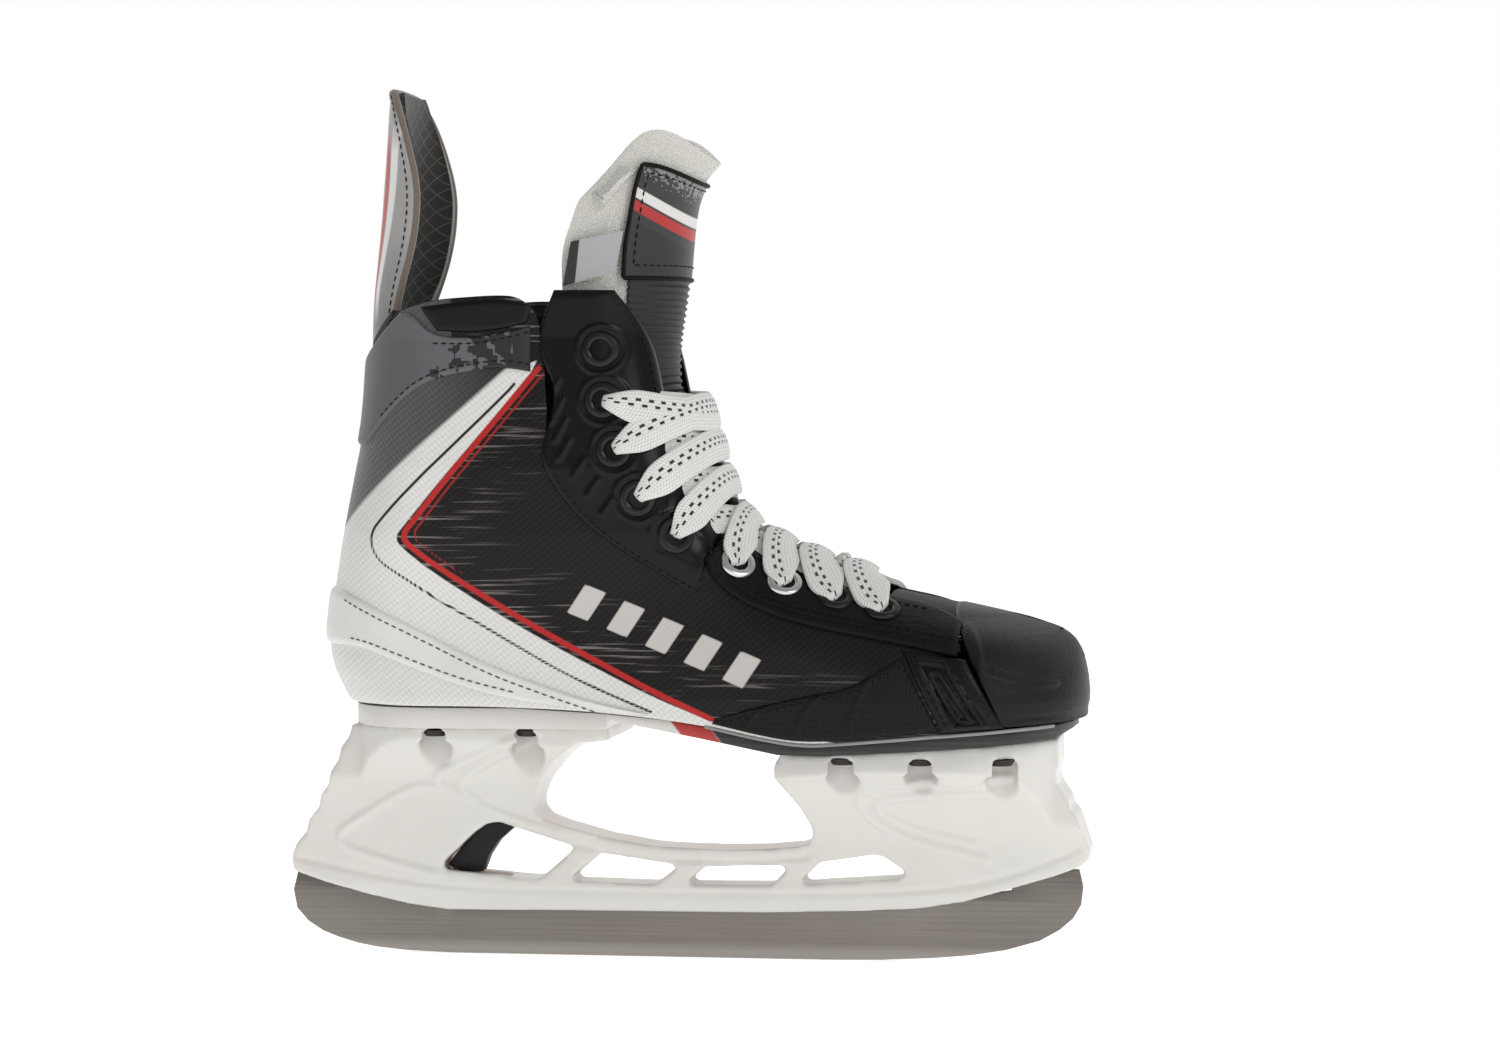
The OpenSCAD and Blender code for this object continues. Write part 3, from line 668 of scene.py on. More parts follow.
class Shader:
    """A material that is being put together from nodes."""

    def __init__(self, name: str) -> None:
        """Starts a material with a plain Principled BSDF."""
        self.material = bpy.data.materials.new(name)
        self.material.use_nodes = True
        self.tree = self.material.node_tree
        self.bsdf = self.tree.nodes["Principled BSDF"]

    def node(self, kind: str, **settings: object) -> bpy.types.Node:
        """Adds a node with these properties."""
        node = self.tree.nodes.new(kind)
        for name, value in settings.items():
            setattr(node, name, value)
        return node

    def link(self, value: object, socket: bpy.types.NodeSocket) -> None:
        """Feeds a socket from another socket or sets it to a value."""
        if isinstance(value, bpy.types.NodeSocket):
            self.tree.links.new(value, socket)
        else:
            socket.default_value = value

    def math(self, operation: str, a: object, b: object = 0.0, clamp: bool = False) -> bpy.types.NodeSocket:
        """A Math node's output.

        Args:
            operation: what it does.
            a: its first number or socket.
            b: its second.
            clamp: whether the result stays from 0 to 1.
        """
        node = self.node("ShaderNodeMath", operation=operation, use_clamp=clamp)
        self.link(a, node.inputs[0])
        self.link(b, node.inputs[1])
        return node.outputs[0]

    def times(self, a: object, b: object, clamp: bool = False) -> bpy.types.NodeSocket:
        """a times b."""
        return self.math("MULTIPLY", a, b, clamp)

    def plus(self, a: object, b: object, clamp: bool = False) -> bpy.types.NodeSocket:
        """a plus b."""
        return self.math("ADD", a, b, clamp)

    def minus(self, a: object, b: object, clamp: bool = False) -> bpy.types.NodeSocket:
        """a less b."""
        return self.math("SUBTRACT", a, b, clamp)

    def rest(self, a: object, clamp: bool = False) -> bpy.types.NodeSocket:
        """What a leaves of 1."""
        return self.math("SUBTRACT", 1.0, a, clamp)

    def wave(self, value: object, length: float) -> bpy.types.NodeSocket:
        """A sine of this wave length."""
        return self.math("SINE", self.times(value, TAU / length))

    def mix(self, share: object, a: object, b: object) -> bpy.types.NodeSocket:
        """A colour a share of the way from a to b."""
        node = self.node("ShaderNodeMix", data_type="RGBA")
        self.link(share, node.inputs[0])
        self.link(a, node.inputs[6])
        self.link(b, node.inputs[7])
        return node.outputs[2]

    def place(self) -> bpy.types.NodeSocket:
        """Object coordinates."""
        return self.node("ShaderNodeTexCoord").outputs["Object"]

    def axes(self, vector: object = None) -> list[bpy.types.NodeSocket]:
        """X, Y and Z of the place, in metres."""
        node = self.node("ShaderNodeSeparateXYZ")
        self.link(vector or self.place(), node.inputs[0])
        return [node.outputs[i] for i in range(3)]

    def attribute(self, name: str) -> bpy.types.NodeSocket:
        """A value stored on the piece's points."""
        return self.node("ShaderNodeAttribute", attribute_name=name).outputs["Fac"]

    def noise(self, scale: float, detail: float = 2.0, vector: object = None) -> bpy.types.NodeSocket:
        """Noise from 0 to 1."""
        node = self.node("ShaderNodeTexNoise")
        self.link(vector or self.place(), node.inputs["Vector"])
        node.inputs["Scale"].default_value = scale
        node.inputs["Detail"].default_value = detail
        return node.outputs["Fac"]

    def step(self, value: object, edge: float, soft: float) -> bpy.types.NodeSocket:
        """Rises from 0 to 1 where a value passes an edge, over a soft width."""
        node = self.node("ShaderNodeMapRange", clamp=True)
        self.link(value, node.inputs[0])
        node.inputs[1].default_value = edge - soft / 2
        node.inputs[2].default_value = edge + soft / 2
        return node.outputs[0]

    def under(self, value: object, edge: float, soft: float) -> bpy.types.NodeSocket:
        """Falls from 1 to 0 where a value passes an edge, over a soft width."""
        return self.rest(self.step(value, edge, soft))

    def band(self, value: object, low: float, high: float, soft: float) -> bpy.types.NodeSocket:
        """1 where a value lies between two edges, and 0 elsewhere."""
        return self.times(self.step(value, low, soft), self.under(value, high, soft))

    def group(self, tree: bpy.types.NodeTree, **inputs: object) -> bpy.types.Node:
        """Places a node group with its own values."""
        node = self.node("ShaderNodeGroup")
        node.node_tree = tree
        for name, value in inputs.items():
            self.link(value, node.inputs[name])
        return node

    def bump(self, height: object, strength: float, distance: float = 0.001) -> None:
        """Feeds the surface's normal from a height."""
        node = self.node("ShaderNodeBump")
        self.link(height, node.inputs["Height"])
        node.inputs["Strength"].default_value = strength
        node.inputs["Distance"].default_value = distance
        self.tree.links.new(node.outputs[0], self.bsdf.inputs["Normal"])

    def finish(self, base: object, rough: object, **plain: float) -> bpy.types.Material:
        """Sets base colour, roughness and the plain sockets.

        Args:
            base: colour or socket.
            rough: number or socket.
            plain: other sockets by name, with _ for a space.
        """
        self.link(base, self.bsdf.inputs["Base Color"])
        self.link(rough, self.bsdf.inputs["Roughness"])
        for name, value in plain.items():
            self.bsdf.inputs[name.replace("_", " ")].default_value = value
        return self.material


def new_group(name: str, inputs: dict[str, float],
              outputs: list[str]) -> tuple[bpy.types.NodeTree, "GroupMaker"]:
    """Starts a node group with number inputs and outputs.

    Args:
        name: the group's name.
        inputs: each input's name and first value.
        outputs: the outputs' names.

    Returns:
        The group, and the helper that fills it.
    """
    tree = bpy.data.node_groups.new(name, "ShaderNodeTree")
    for label, value in inputs.items():
        socket = tree.interface.new_socket(label, in_out="INPUT", socket_type="NodeSocketFloat")
        socket.default_value = value
    for label in outputs:
        tree.interface.new_socket(label, in_out="OUTPUT", socket_type="NodeSocketFloat")
    return tree, GroupMaker(tree)


class GroupMaker(Shader):
    """The same helpers, working in a node group."""

    def __init__(self, tree: bpy.types.NodeTree) -> None:
        """Puts the group's two ends in place."""
        self.tree = tree
        self.start = tree.nodes.new("NodeGroupInput")
        self.end = tree.nodes.new("NodeGroupOutput")


def make_weave() -> bpy.types.NodeTree:
    """Plain weave on Object coordinates: X and Z threads, about a pitch apart."""
    tree, g = new_group("weave", {"Pitch": 1.0, "Slant": 0.0}, ["Height", "Warp"])
    x, _, z = g.axes()
    pitch = g.times(g.start.outputs["Pitch"], 0.001)
    turned = g.plus(z, g.times(x, g.start.outputs["Slant"]))
    u = g.math("SINE", g.times(g.math("DIVIDE", x, pitch), TAU))
    v = g.math("SINE", g.times(g.math("DIVIDE", turned, pitch), TAU))
    height = g.plus(g.times(g.times(u, v), 0.5), 0.5)
    g.link(height, g.end.inputs["Height"])
    g.link(g.plus(g.times(v, 0.5), 0.5), g.end.inputs["Warp"])
    return tree


def make_grain() -> bpy.types.NodeTree:
    """Fine grain with a broad mottle, for leather and moulded plastic."""
    tree, g = new_group("grain", {"Scale": 900.0}, ["Height", "Mottle"])
    place = g.place()
    fine = g.node("ShaderNodeTexNoise")
    g.link(place, fine.inputs["Vector"])
    g.link(g.start.outputs["Scale"], fine.inputs["Scale"])
    fine.inputs["Detail"].default_value = 3
    cells = g.node("ShaderNodeTexVoronoi")
    g.link(place, cells.inputs["Vector"])
    g.link(g.start.outputs["Scale"], cells.inputs["Scale"])
    height = g.plus(g.times(fine.outputs["Fac"], 0.6), g.times(cells.outputs["Distance"], 0.6))
    g.link(height, g.end.inputs["Height"])
    g.link(g.noise(45, 3, place), g.end.inputs["Mottle"])
    return tree


Groups = dict[str, bpy.types.NodeTree]


@dataclass(frozen=True)
class Moulded:
    """A plain moulded plastic, leather or rubber with grain."""

    name: str
    colour: tuple[float, float, float]
    rough: float = 0.5
    grain: float = 900.0
    depth: float = 0.25
    vary: float = 0.06
    coat: float = 0.0
    shine: float = 0.3

    def make(self, groups: Groups) -> bpy.types.Material:
        """The material."""
        s = Shader(self.name)
        g = s.group(groups["grain"], Scale=self.grain)
        base = linear(*self.colour)
        colour = s.mix(g.outputs["Mottle"], base, darker(base, 0.8))
        rough = s.plus(self.rough - self.vary / 2, s.times(g.outputs["Mottle"], self.vary), True)
        s.bump(g.outputs["Height"], self.depth, 0.0004)
        return s.finish(colour, rough, Coat_Weight=self.coat, Coat_Roughness=0.2,
                        Specular_IOR_Level=self.shine)


@dataclass(frozen=True)
class Cloth:
    """A woven or felted cloth with sheen."""

    name: str
    colour: tuple[float, float, float]
    pitch: float = 1.0
    depth: float = 0.5
    fuzz: float = 0.3
    rough: float = 0.9

    def make(self, groups: Groups) -> bpy.types.Material:
        """The material."""
        s = Shader(self.name)
        w = s.group(groups["weave"], Pitch=self.pitch)
        fibre = s.noise(1400, 4)
        base = linear(*self.colour)
        threads = s.plus(s.times(w.outputs["Height"], 0.6), s.times(fibre, 0.6))
        height = s.plus(w.outputs["Height"], s.times(fibre, 0.8))
        s.bump(height, self.depth, 0.0004)
        colour = s.mix(s.times(threads, 0.8, True), darker(base, 0.68), base)
        return s.finish(colour, self.rough, Sheen_Weight=self.fuzz, Sheen_Roughness=0.4,
                        Specular_IOR_Level=0.2)


def steel() -> bpy.types.Material:
    """Ground steel with fine lengthwise grinding lines and a brighter honed edge."""
    s = Shader("runner steel")
    place = s.place()
    stretch = s.node("ShaderNodeMapping")
    s.link(place, stretch.inputs["Vector"])
    stretch.inputs["Scale"].default_value = (18, 900, 2600)
    lines = s.noise(1.0, 6, stretch.outputs[0])
    _, _, z = s.axes(place)
    cloud = s.noise(22, 3, place)
    low = s.step(z, 0.0035, 0.003)
    ground = s.plus(s.times(lines, 0.7), s.times(cloud, 0.3))
    dull = s.mix(ground, linear(88, 83, 80), linear(150, 144, 138))
    colour = s.mix(low, linear(150, 145, 140), dull)
    rough = s.plus(0.30, s.times(lines, 0.22))
    s.bump(lines, 0.18, 0.0002)
    return s.finish(colour, rough, Metallic=1.0, Anisotropic=0.4)


def bright(name: str, colour: tuple[float, float, float], rough: float) -> bpy.types.Material:
    """Plated metal with faint mottling."""
    s = Shader(name)
    cloud = s.noise(260, 3)
    base = linear(*colour)
    return s.finish(s.mix(cloud, base, darker(base, 0.82)), s.plus(rough, s.times(cloud, 0.1)), Metallic=1.0)


def holder_plastic(groups: Groups) -> bpy.types.Material:
    """Warm white moulded plastic, slightly greyer in random mottled patches."""
    s = Shader("holder white")
    g = s.group(groups["grain"], Scale=1500.0)
    # Greyer patches that follow random noise mottle, not the holder's hollows.
    grey_patches = s.times(s.step(g.outputs["Mottle"], 0.5, 0.5), 0.35)
    colour = s.mix(grey_patches, linear(218, 215, 210), linear(206, 203, 197))
    s.bump(g.outputs["Height"], 0.05, 0.0003)
    rough = s.plus(0.3, s.times(g.outputs["Mottle"], 0.12))
    return s.finish(colour, rough, Coat_Weight=0.15, Coat_Roughness=0.25, Subsurface_Weight=0.05)


def outsole_plastic(groups: Groups) -> bpy.types.Material:
    """White at the heel, dark woven fibre forward, with a small red inlay between them."""
    s = Shader("outsole")
    x, _, z = s.axes()
    w = s.group(groups["weave"], Pitch=1.8, Slant=1.0)
    g = s.group(groups["grain"], Scale=1200.0)
    slant = s.plus(x, s.times(z, 0.8))
    fore = s.step(slant, 0.0735, 0.0008)
    red = s.times(s.step(slant, 0.0625, 0.0008), s.rest(fore))
    white = s.mix(g.outputs["Mottle"], linear(222, 219, 214), linear(210, 207, 201))
    dark = s.mix(w.outputs["Height"], linear(22, 22, 23), linear(52, 51, 52))
    colour = s.mix(fore, s.mix(red, white, linear(176, 52, 48)), dark)
    s.bump(g.outputs["Height"], 0.15, 0.0003)
    return s.finish(colour, 0.42)


def quarter_print(groups: Groups) -> bpy.types.Material:
    """Printed woven side: white heel, grey fade under the collar, red chevron and a near black field."""
    s = Shader("quarter print")
    x, _, _ = s.axes()
    names = ("field", "red", "pin", "thread", "ankle", "bars")
    field_d, red_d, pin_d, thread_d, ankle_d, bars = (s.attribute(name) for name in names)
    coarse = s.group(groups["weave"], Pitch=2.1, Slant=0.25)
    fine = s.group(groups["weave"], Pitch=0.9, Slant=0.9)
    place = s.place()
    streak = s.node("ShaderNodeMapping")
    s.link(place, streak.inputs["Vector"])
    streak.inputs["Rotation"].default_value = (0, math.radians(38), 0)
    streak.inputs["Scale"].default_value = (30, 30, 900)
    streaks = s.noise(1.0, 5, streak.outputs[0])
    cloud = s.noise(30, 3, place)
    # White zone with a grey crosshatch
    hatch = s.times(s.times(coarse.outputs["Height"], fine.outputs["Warp"]), 0.55)
    white = s.mix(hatch, linear(226, 224, 220), linear(150, 148, 146))
    # Grey fade that darkens forward, under the collar
    dark_share = s.step(x, -0.070, 0.050)
    grey = s.mix(dark_share, linear(112, 112, 112), linear(36, 35, 36))
    grey = s.mix(s.times(coarse.outputs["Height"], 0.4), grey, linear(30, 30, 31))
    # Near black field with light slanted strokes near its rear edge
    edge_zone = s.rest(s.rest(s.step(field_d, -0.012, 0.024), True))
    stroke = s.times(s.times(s.step(streaks, 0.60, 0.08), edge_zone), 0.55)
    black = s.mix(coarse.outputs["Height"], linear(12, 10, 10), linear(30, 24, 25))
    black = s.mix(stroke, black, linear(168, 158, 156))
    colour = s.mix(s.step(ankle_d, 0.0, 0.0012), grey, white)
    colour = s.mix(s.under(pin_d, 0.00045, 0.0003), colour, linear(42, 38, 40))
    colour = s.mix(s.under(field_d, 0.0, 0.0004), colour, black)
    colour = s.mix(s.under(red_d, 0.0009, 0.0003), colour, linear(176, 40, 38))
    colour = s.mix(s.under(thread_d, 0.00035, 0.0003), colour, linear(150, 38, 36))
    colour = s.mix(s.under(bars, 0.0, 0.0004), colour, linear(196, 192, 188))
    height = s.plus(coarse.outputs["Height"], s.times(fine.outputs["Height"], 0.5))
    s.bump(height, 0.25, 0.0003)
    rough = s.plus(0.34, s.times(cloud, 0.14))
    return s.finish(colour, rough, Coat_Weight=0.0, Coat_Roughness=0.3, Specular_IOR_Level=0.18)


def yoke_print(groups: Groups) -> bpy.types.Material:
    """Matte grey that breaks up into black blocks towards the front."""
    s = Shader("ankle yoke")
    place = s.place()
    x, _, _ = s.axes(place)
    cells = s.node("ShaderNodeTexVoronoi", distance="CHEBYCHEV")
    s.link(place, cells.inputs["Vector"])
    cells.inputs["Scale"].default_value = 420
    pick_cell = s.node("ShaderNodeSeparateXYZ")
    s.link(cells.outputs["Color"], pick_cell.inputs[0])
    g = s.group(groups["grain"], Scale=1100.0)
    fade = s.node("ShaderNodeMapRange", clamp=True)
    s.link(x, fade.inputs[0])
    fade.inputs[1].default_value = -0.073
    fade.inputs[2].default_value = -0.046
    black = s.math("GREATER_THAN", fade.outputs[0], pick_cell.outputs[0])
    grey = s.mix(g.outputs["Mottle"], linear(96, 98, 101), linear(80, 82, 85))
    s.bump(g.outputs["Height"], 0.2, 0.0003)
    return s.finish(s.mix(black, grey, linear(24, 24, 25)), 0.5)


def guard_print(groups: Groups) -> bpy.types.Material:
    """Light grey outer shell with plain white and red side stripes."""
    s = Shader("guard shell")
    place = s.place()
    _, y, z = s.axes(place)
    g = s.group(groups["grain"], Scale=900.0)
    wide = s.math("ABSOLUTE", y)
    mid = s.minus(wide, s.times(s.minus(z, 0.200), 0.10))
    red = s.band(mid, 0.0100, 0.0145, 0.0004)
    pale = s.band(mid, 0.0152, 0.0185, 0.0004)
    tall = s.band(z, 0.205, 0.258, 0.010)
    base = s.mix(g.outputs["Mottle"], linear(172, 171, 170), linear(146, 145, 145))
    low = s.step(z, 0.214, 0.03)
    base = s.mix(low, linear(120, 119, 119), base)
    colour = s.mix(s.times(red, tall), base, linear(178, 52, 46))
    colour = s.mix(s.times(pale, tall), colour, linear(226, 224, 221))
    s.bump(g.outputs["Height"], 0.15, 0.0003)
    return s.finish(colour, 0.42)


def guard_mesh(groups: Groups) -> bpy.types.Material:
    """Black knit liner with a slanted grid of fine ridges."""
    s = Shader("guard liner")
    _, y, z = s.axes()
    a = s.math("ABSOLUTE", s.wave(s.plus(z, s.times(y, 0.9)), 0.011))
    b = s.math("ABSOLUTE", s.wave(s.minus(z, s.times(y, 0.9)), 0.011))
    grid = s.rest(s.step(s.math("MINIMUM", a, b), 0.12, 0.1))
    w = s.group(groups["weave"], Pitch=0.8)
    knit = s.mix(w.outputs["Height"], linear(22, 21, 21), linear(44, 42, 41))
    colour = s.mix(s.times(grid, 0.7), knit, linear(92, 88, 84))
    s.bump(s.plus(w.outputs["Height"], s.times(grid, 2.0)), 0.4, 0.0004)
    return s.finish(colour, 0.85, Sheen_Weight=0.3)


def lace_cloth() -> bpy.types.Material:
    """White flat weave with two rows of dark tracer dashes, laid out on the lace's own UV map."""
    s = Shader("lace")
    uv = s.node("ShaderNodeUVMap", uv_map="lace")
    u, v, _ = s.axes(uv.outputs[0])
    # u counts millimetres along the lace, v runs from -1 to 1 across it
    rib = s.wave(s.plus(u, s.times(s.math("ABSOLUTE", v), 3.0)), 1.1)
    weft = s.math("SINE", s.times(v, TAU * 5))
    height = s.plus(s.times(rib, 0.5), s.times(weft, 0.35))
    dashes = []
    for row, shift in ((0.10, 0.0), (0.42, 0.5)):
        band = s.rest(s.step(s.math("ABSOLUTE", s.minus(v, row)), 0.085, 0.04))
        beat = s.math("FRACT", s.plus(s.math("DIVIDE", u, 4.4), shift))
        dashes.append(s.times(band, s.under(beat, 0.42, 0.06)))
    dash = s.math("MAXIMUM", *dashes)
    shade = s.plus(0.5, s.times(height, 0.5), True)
    white = s.mix(shade, linear(198, 196, 192), linear(240, 239, 236))
    s.bump(height, 0.5, 0.0003)
    return s.finish(s.mix(dash, white, linear(26, 25, 25)), 0.85, Sheen_Weight=0.25)


def panel_weave() -> bpy.types.Material:
    """Black side panel with a fine diamond relief."""
    s = Shader("side panel")
    x, _, z = s.axes()
    a = s.wave(s.plus(x, s.times(z, 1.6)), 0.0022)
    b = s.wave(s.minus(x, s.times(z, 1.6)), 0.0022)
    diamond = s.times(a, b)
    shade = s.plus(0.5, s.times(diamond, 0.5))
    s.bump(diamond, 0.5, 0.0003)
    return s.finish(s.mix(shade, linear(7, 7, 7), linear(24, 23, 23)), 0.45, Specular_IOR_Level=0.18)


def cap_print(groups: Groups) -> bpy.types.Material:
    """Tongue cap: plain slanted bands of dotted grey, white and red over black."""
    s = Shader("tongue cap")
    place = s.place()
    x, _, z = s.axes(place)
    slope = s.minus(z, s.times(x, -0.62))
    line = s.plus(z, s.times(x, 0.62))
    top = s.step(line, 0.2245, 0.0006)
    dots = s.node("ShaderNodeTexVoronoi")
    s.link(place, dots.inputs["Vector"])
    dots.inputs["Scale"].default_value = 900
    half = s.math("LESS_THAN", dots.outputs["Distance"], s.step(slope, 0.243, 0.012))
    red = s.band(line, 0.2275, 0.2310, 0.0004)
    pale = s.band(line, 0.2318, 0.2352, 0.0004)
    g = s.group(groups["grain"], Scale=900.0)
    black = s.mix(g.outputs["Mottle"], linear(25, 24, 25), linear(38, 37, 38))
    field_c = s.mix(half, linear(44, 43, 44), linear(128, 127, 128))
    colour = s.mix(top, black, field_c)
    colour = s.mix(red, colour, linear(170, 40, 38))
    colour = s.mix(pale, colour, linear(214, 212, 209))
    s.bump(g.outputs["Height"], 0.2, 0.0003)
    return s.finish(colour, 0.4)


def tag_cloth(groups: Groups) -> bpy.types.Material:
    """Grey satin ribbon with a black rear strip."""
    s = Shader("size tag")
    x, _, z = s.axes()
    w = s.group(groups["weave"], Pitch=0.5)
    strip = s.rest(s.step(s.minus(x, s.times(z, 0.12)), -0.0530, 0.0003))
    base = s.mix(w.outputs["Height"], linear(150, 150, 152), linear(184, 184, 186))
    s.bump(w.outputs["Height"], 0.3, 0.0002)
    return s.finish(s.mix(strip, base, linear(24, 24, 24)), 0.35, Sheen_Weight=0.3)


class Finishes:
    """Every material of the skate, by name."""

    def __init__(self) -> None:
        """Builds the shared groups and each finish."""
        groups = {"weave": make_weave(), "grain": make_grain()}
        self.by_name: dict[str, bpy.types.Material] = {
            "steel": steel(),
            "pin": bright("pin steel", (190, 188, 185), 0.3),
            "rivet": bright("rivet steel", (64, 60, 58), 0.38),
            "silver": bright("silver eyelet", (214, 212, 210), 0.18),
            "holder": holder_plastic(groups),
            "outsole": outsole_plastic(groups),
            "quarter": quarter_print(groups),
            "yoke": yoke_print(groups),
            "guard": guard_print(groups),
            "guard_mesh": guard_mesh(groups),
            "lace": lace_cloth(),
            "panel": panel_weave(),
            "cap": cap_print(groups),
            "tag": tag_cloth(groups),
        }
        for plain in (
            Moulded("trigger black", (16, 16, 17), 0.5, 1000, 0.2),
            Moulded("heel white", (232, 230, 226), 0.42, 800, 0.12),
            Moulded("leather black", (12, 11, 12), 0.55, 700, 0.5, 0.12, 0.0, 0.15),
            Moulded("gloss black", (6, 6, 6), 0.3, 500, 0.06, 0.1, 0.0, 0.22),
            Moulded("toe plastic", (11, 11, 11), 0.46, 1300, 0.45, 0.1, 0.0, 0.25),
            Moulded("rib black", (9, 9, 9), 0.36, 900, 0.2, 0.06, 0.0, 0.2),
            Moulded("eyelet black", (10, 10, 10), 0.3, 600, 0.05, 0.1, 0.1),
            Moulded("board brown", (120, 104, 82), 0.8, 500, 0.3),
            Moulded("ribbed rubber", (46, 45, 46), 0.5, 900, 0.2),
            Moulded("edge rough", (150, 149, 148), 0.8, 600, 0.8),
        ):
            self.by_name[plain.name] = plain.make(groups)
        for cloth in (
            Cloth("white felt", (232, 229, 222), 0.7, 0.7, 0.6, 0.95),
            Cloth("guard felt", (134, 122, 110), 0.6, 0.7, 0.6, 0.95),
            Cloth("black knit", (20, 19, 20), 1.2, 0.6, 0.08, 0.85),
            Cloth("grey thread", (92, 90, 88), 0.3, 0.3, 0.2, 0.8),
            Cloth("black thread", (12, 12, 12), 0.3, 0.3, 0.2, 0.7),
            Cloth("grey piping", (176, 174, 170), 0.5, 0.4, 0.3, 0.8),
        ):
            self.by_name[cloth.name] = cloth.make(groups)

    def dress(self, obj: bpy.types.Object, finish: str, body: str) -> None:
        """Gives a piece its material and the body it rides on, and logs which body that is.

        Args:
            obj: the piece.
            finish: a material's name here.
            body: the CAD body, or "" for a piece that spans two bodies and is left unattached.
        """
        obj.data.materials.clear()
        obj.data.materials.append(self.by_name[finish])
        if body:
            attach(obj, body)
        LOG.info("%s rides on %s", obj.name, body or "two bodies")

    def cover(self, obj: bpy.types.Object, node: str, finish: str, body: str = "boot") -> None:
        """Dresses a piece that takes one CAD node's place.

        Args:
            obj: the piece.
            node: the node.
            finish: a material's name here.
            body: the CAD body, or "" for a piece that spans two bodies and is left unattached.
        """
        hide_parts(node)
        self.dress(obj, finish, body)

    def paint(self, node: str, finish: str) -> None:
        """Puts a material on a CAD node that stays."""
        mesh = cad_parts[node].data
        mesh.materials.clear()
        mesh.materials.append(self.by_name[finish])


# ---- Sub-assemblies -----------------------------------------------------------------------------


@dataclass
class Holder:
    """The moulded blade holder with its rivets, and the runner and trigger that move in it."""

    voxel: float = 0.85
    relax: int = 3
    contours: list[Line] = field(default_factory=lambda: [
        [(-62, 47.2), (-72, 52.4), (-79, 55), (-87, 53.7), (-108.5, 40.5), (-110.8, 37.3),
         (-108.5, 33.9), (-92, 29), (-79, 25.8)],
        [(-42, 73), (-54, 68.5), (-74, 59.6), (-77.5, 57.2), (-75, 54.6), (-65, 49),
         (-58, 45.6), (-40, 39.6)],
        [(-46, 70), (-65, 60), (-69.6, 56), (-68.4, 52.6), (-64, 49)],
        [(104, 60), (62, 58), (56, 51), (67, 40), (96, 33)],
        [(98, 55), (66, 53.5), (62, 50), (70, 43.5), (92, 38)],
    ])
    grooves: list[Line] = field(default_factory=lambda: [
        [(-124, 30.5), (-100, 25.5), (-76, 21.5), (-18, 20.5), (54, 21.2), (90, 24), (112, 31), (124, 36.5)],
        [(-48, 39.2), (-24, 33.6), (-8, 31.6), (14, 31.2), (26, 31.6), (40, 33.2)],
    ])

    def shell(self) -> bpy.types.Object:
        """The holder's casting with soft moulded edges and raised contour lines."""
        obj = from_node("holder_casting", "holder", bevel=0)
        apply_modifier(obj, "REMESH", mode="VOXEL", voxel_size=self.voxel * MM, adaptivity=0)
        apply_modifier(obj, "SMOOTH", factor=0.5, iterations=self.relax)
        count = len(obj.data.vertices)
        co = np.empty(count * 3)
        normal = np.empty(count * 3)
        obj.data.vertices.foreach_get("co", co)
        obj.data.vertices.foreach_get("normal", normal)
        co, normal = co.reshape(-1, 3), normal.reshape(-1, 3)
        flank, blend = 0.45, 0.2
        side = np.clip((np.abs(normal[:, 1]) - flank) / blend, 0, 1)
        x, z = co[:, 0] / MM, co[:, 2] / MM
        lines = Emboss(self.contours, width=1.7, rise=0.8, soft=2).height(x, z)
        lines += Emboss(self.grooves, width=1.2, rise=-0.6, soft=2).height(x, z)
        slot_wall = 4.6
        outer = np.abs(co[:, 1]) > slot_wall * MM
        co += normal * (lines * side * outer)[:, None] * MM
        obj.data.vertices.foreach_set("co", co.ravel())
        obj.data.update()
        apply_modifier(obj, "DECIMATE", ratio=0.7)
        smooth(obj, 50)
        return obj

    def build(self, finishes: Finishes) -> None:
        """Makes and dresses the pieces."""
        finishes.dress(self.shell(), "holder", "boot")
        finishes.dress(from_node("runner_blade", "runner", 0.25), "steel", "runner_body")
        lever = from_node("trigger_lever", "trigger", 0.5)
        finishes.dress(lever, "trigger black", "trigger_body")
        finishes.dress(from_node("rivet_heads_rear", "rivets_rear", 0.3), "rivet", "boot")
        finishes.dress(from_node("rivet_heads_front", "rivets_front", 0.3), "rivet", "boot")
        finishes.paint("trigger_pin", "pin")
        finishes.paint("trigger_spring", "pin")


@dataclass
class Sole:
    """Outsole, insole board and footbed."""

    edge_line: Line = field(default_factory=lambda: [
        (12, 75.8), (28, 72.4), (42, 70.4), (52, 71), (77, 73.4), (103, 75.6), (118, 76.4),
    ])

    def build(self, finishes: Finishes) -> None:
        """Makes and dresses the pieces."""
        finishes.dress(from_node("outsole_plate", "outsole", 0.5), "outsole", "boot")
        bed = from_node("footbed_pad", "footbed", 1.2)
        finishes.dress(bed, "black knit", "boot")
        finishes.paint("insole_board", "board brown")
        strips = []
        for side in Side:
            pts = by_length(chaikin(self.edge_line), 1.2)
            strips.append(BootForm.skin(pts[:, 0], pts[:, 1], 0.0, side.value))
        finishes.dress(cord_mesh("outsole_rough_edge", strips, 0.55, 0.8), "edge rough", "boot")


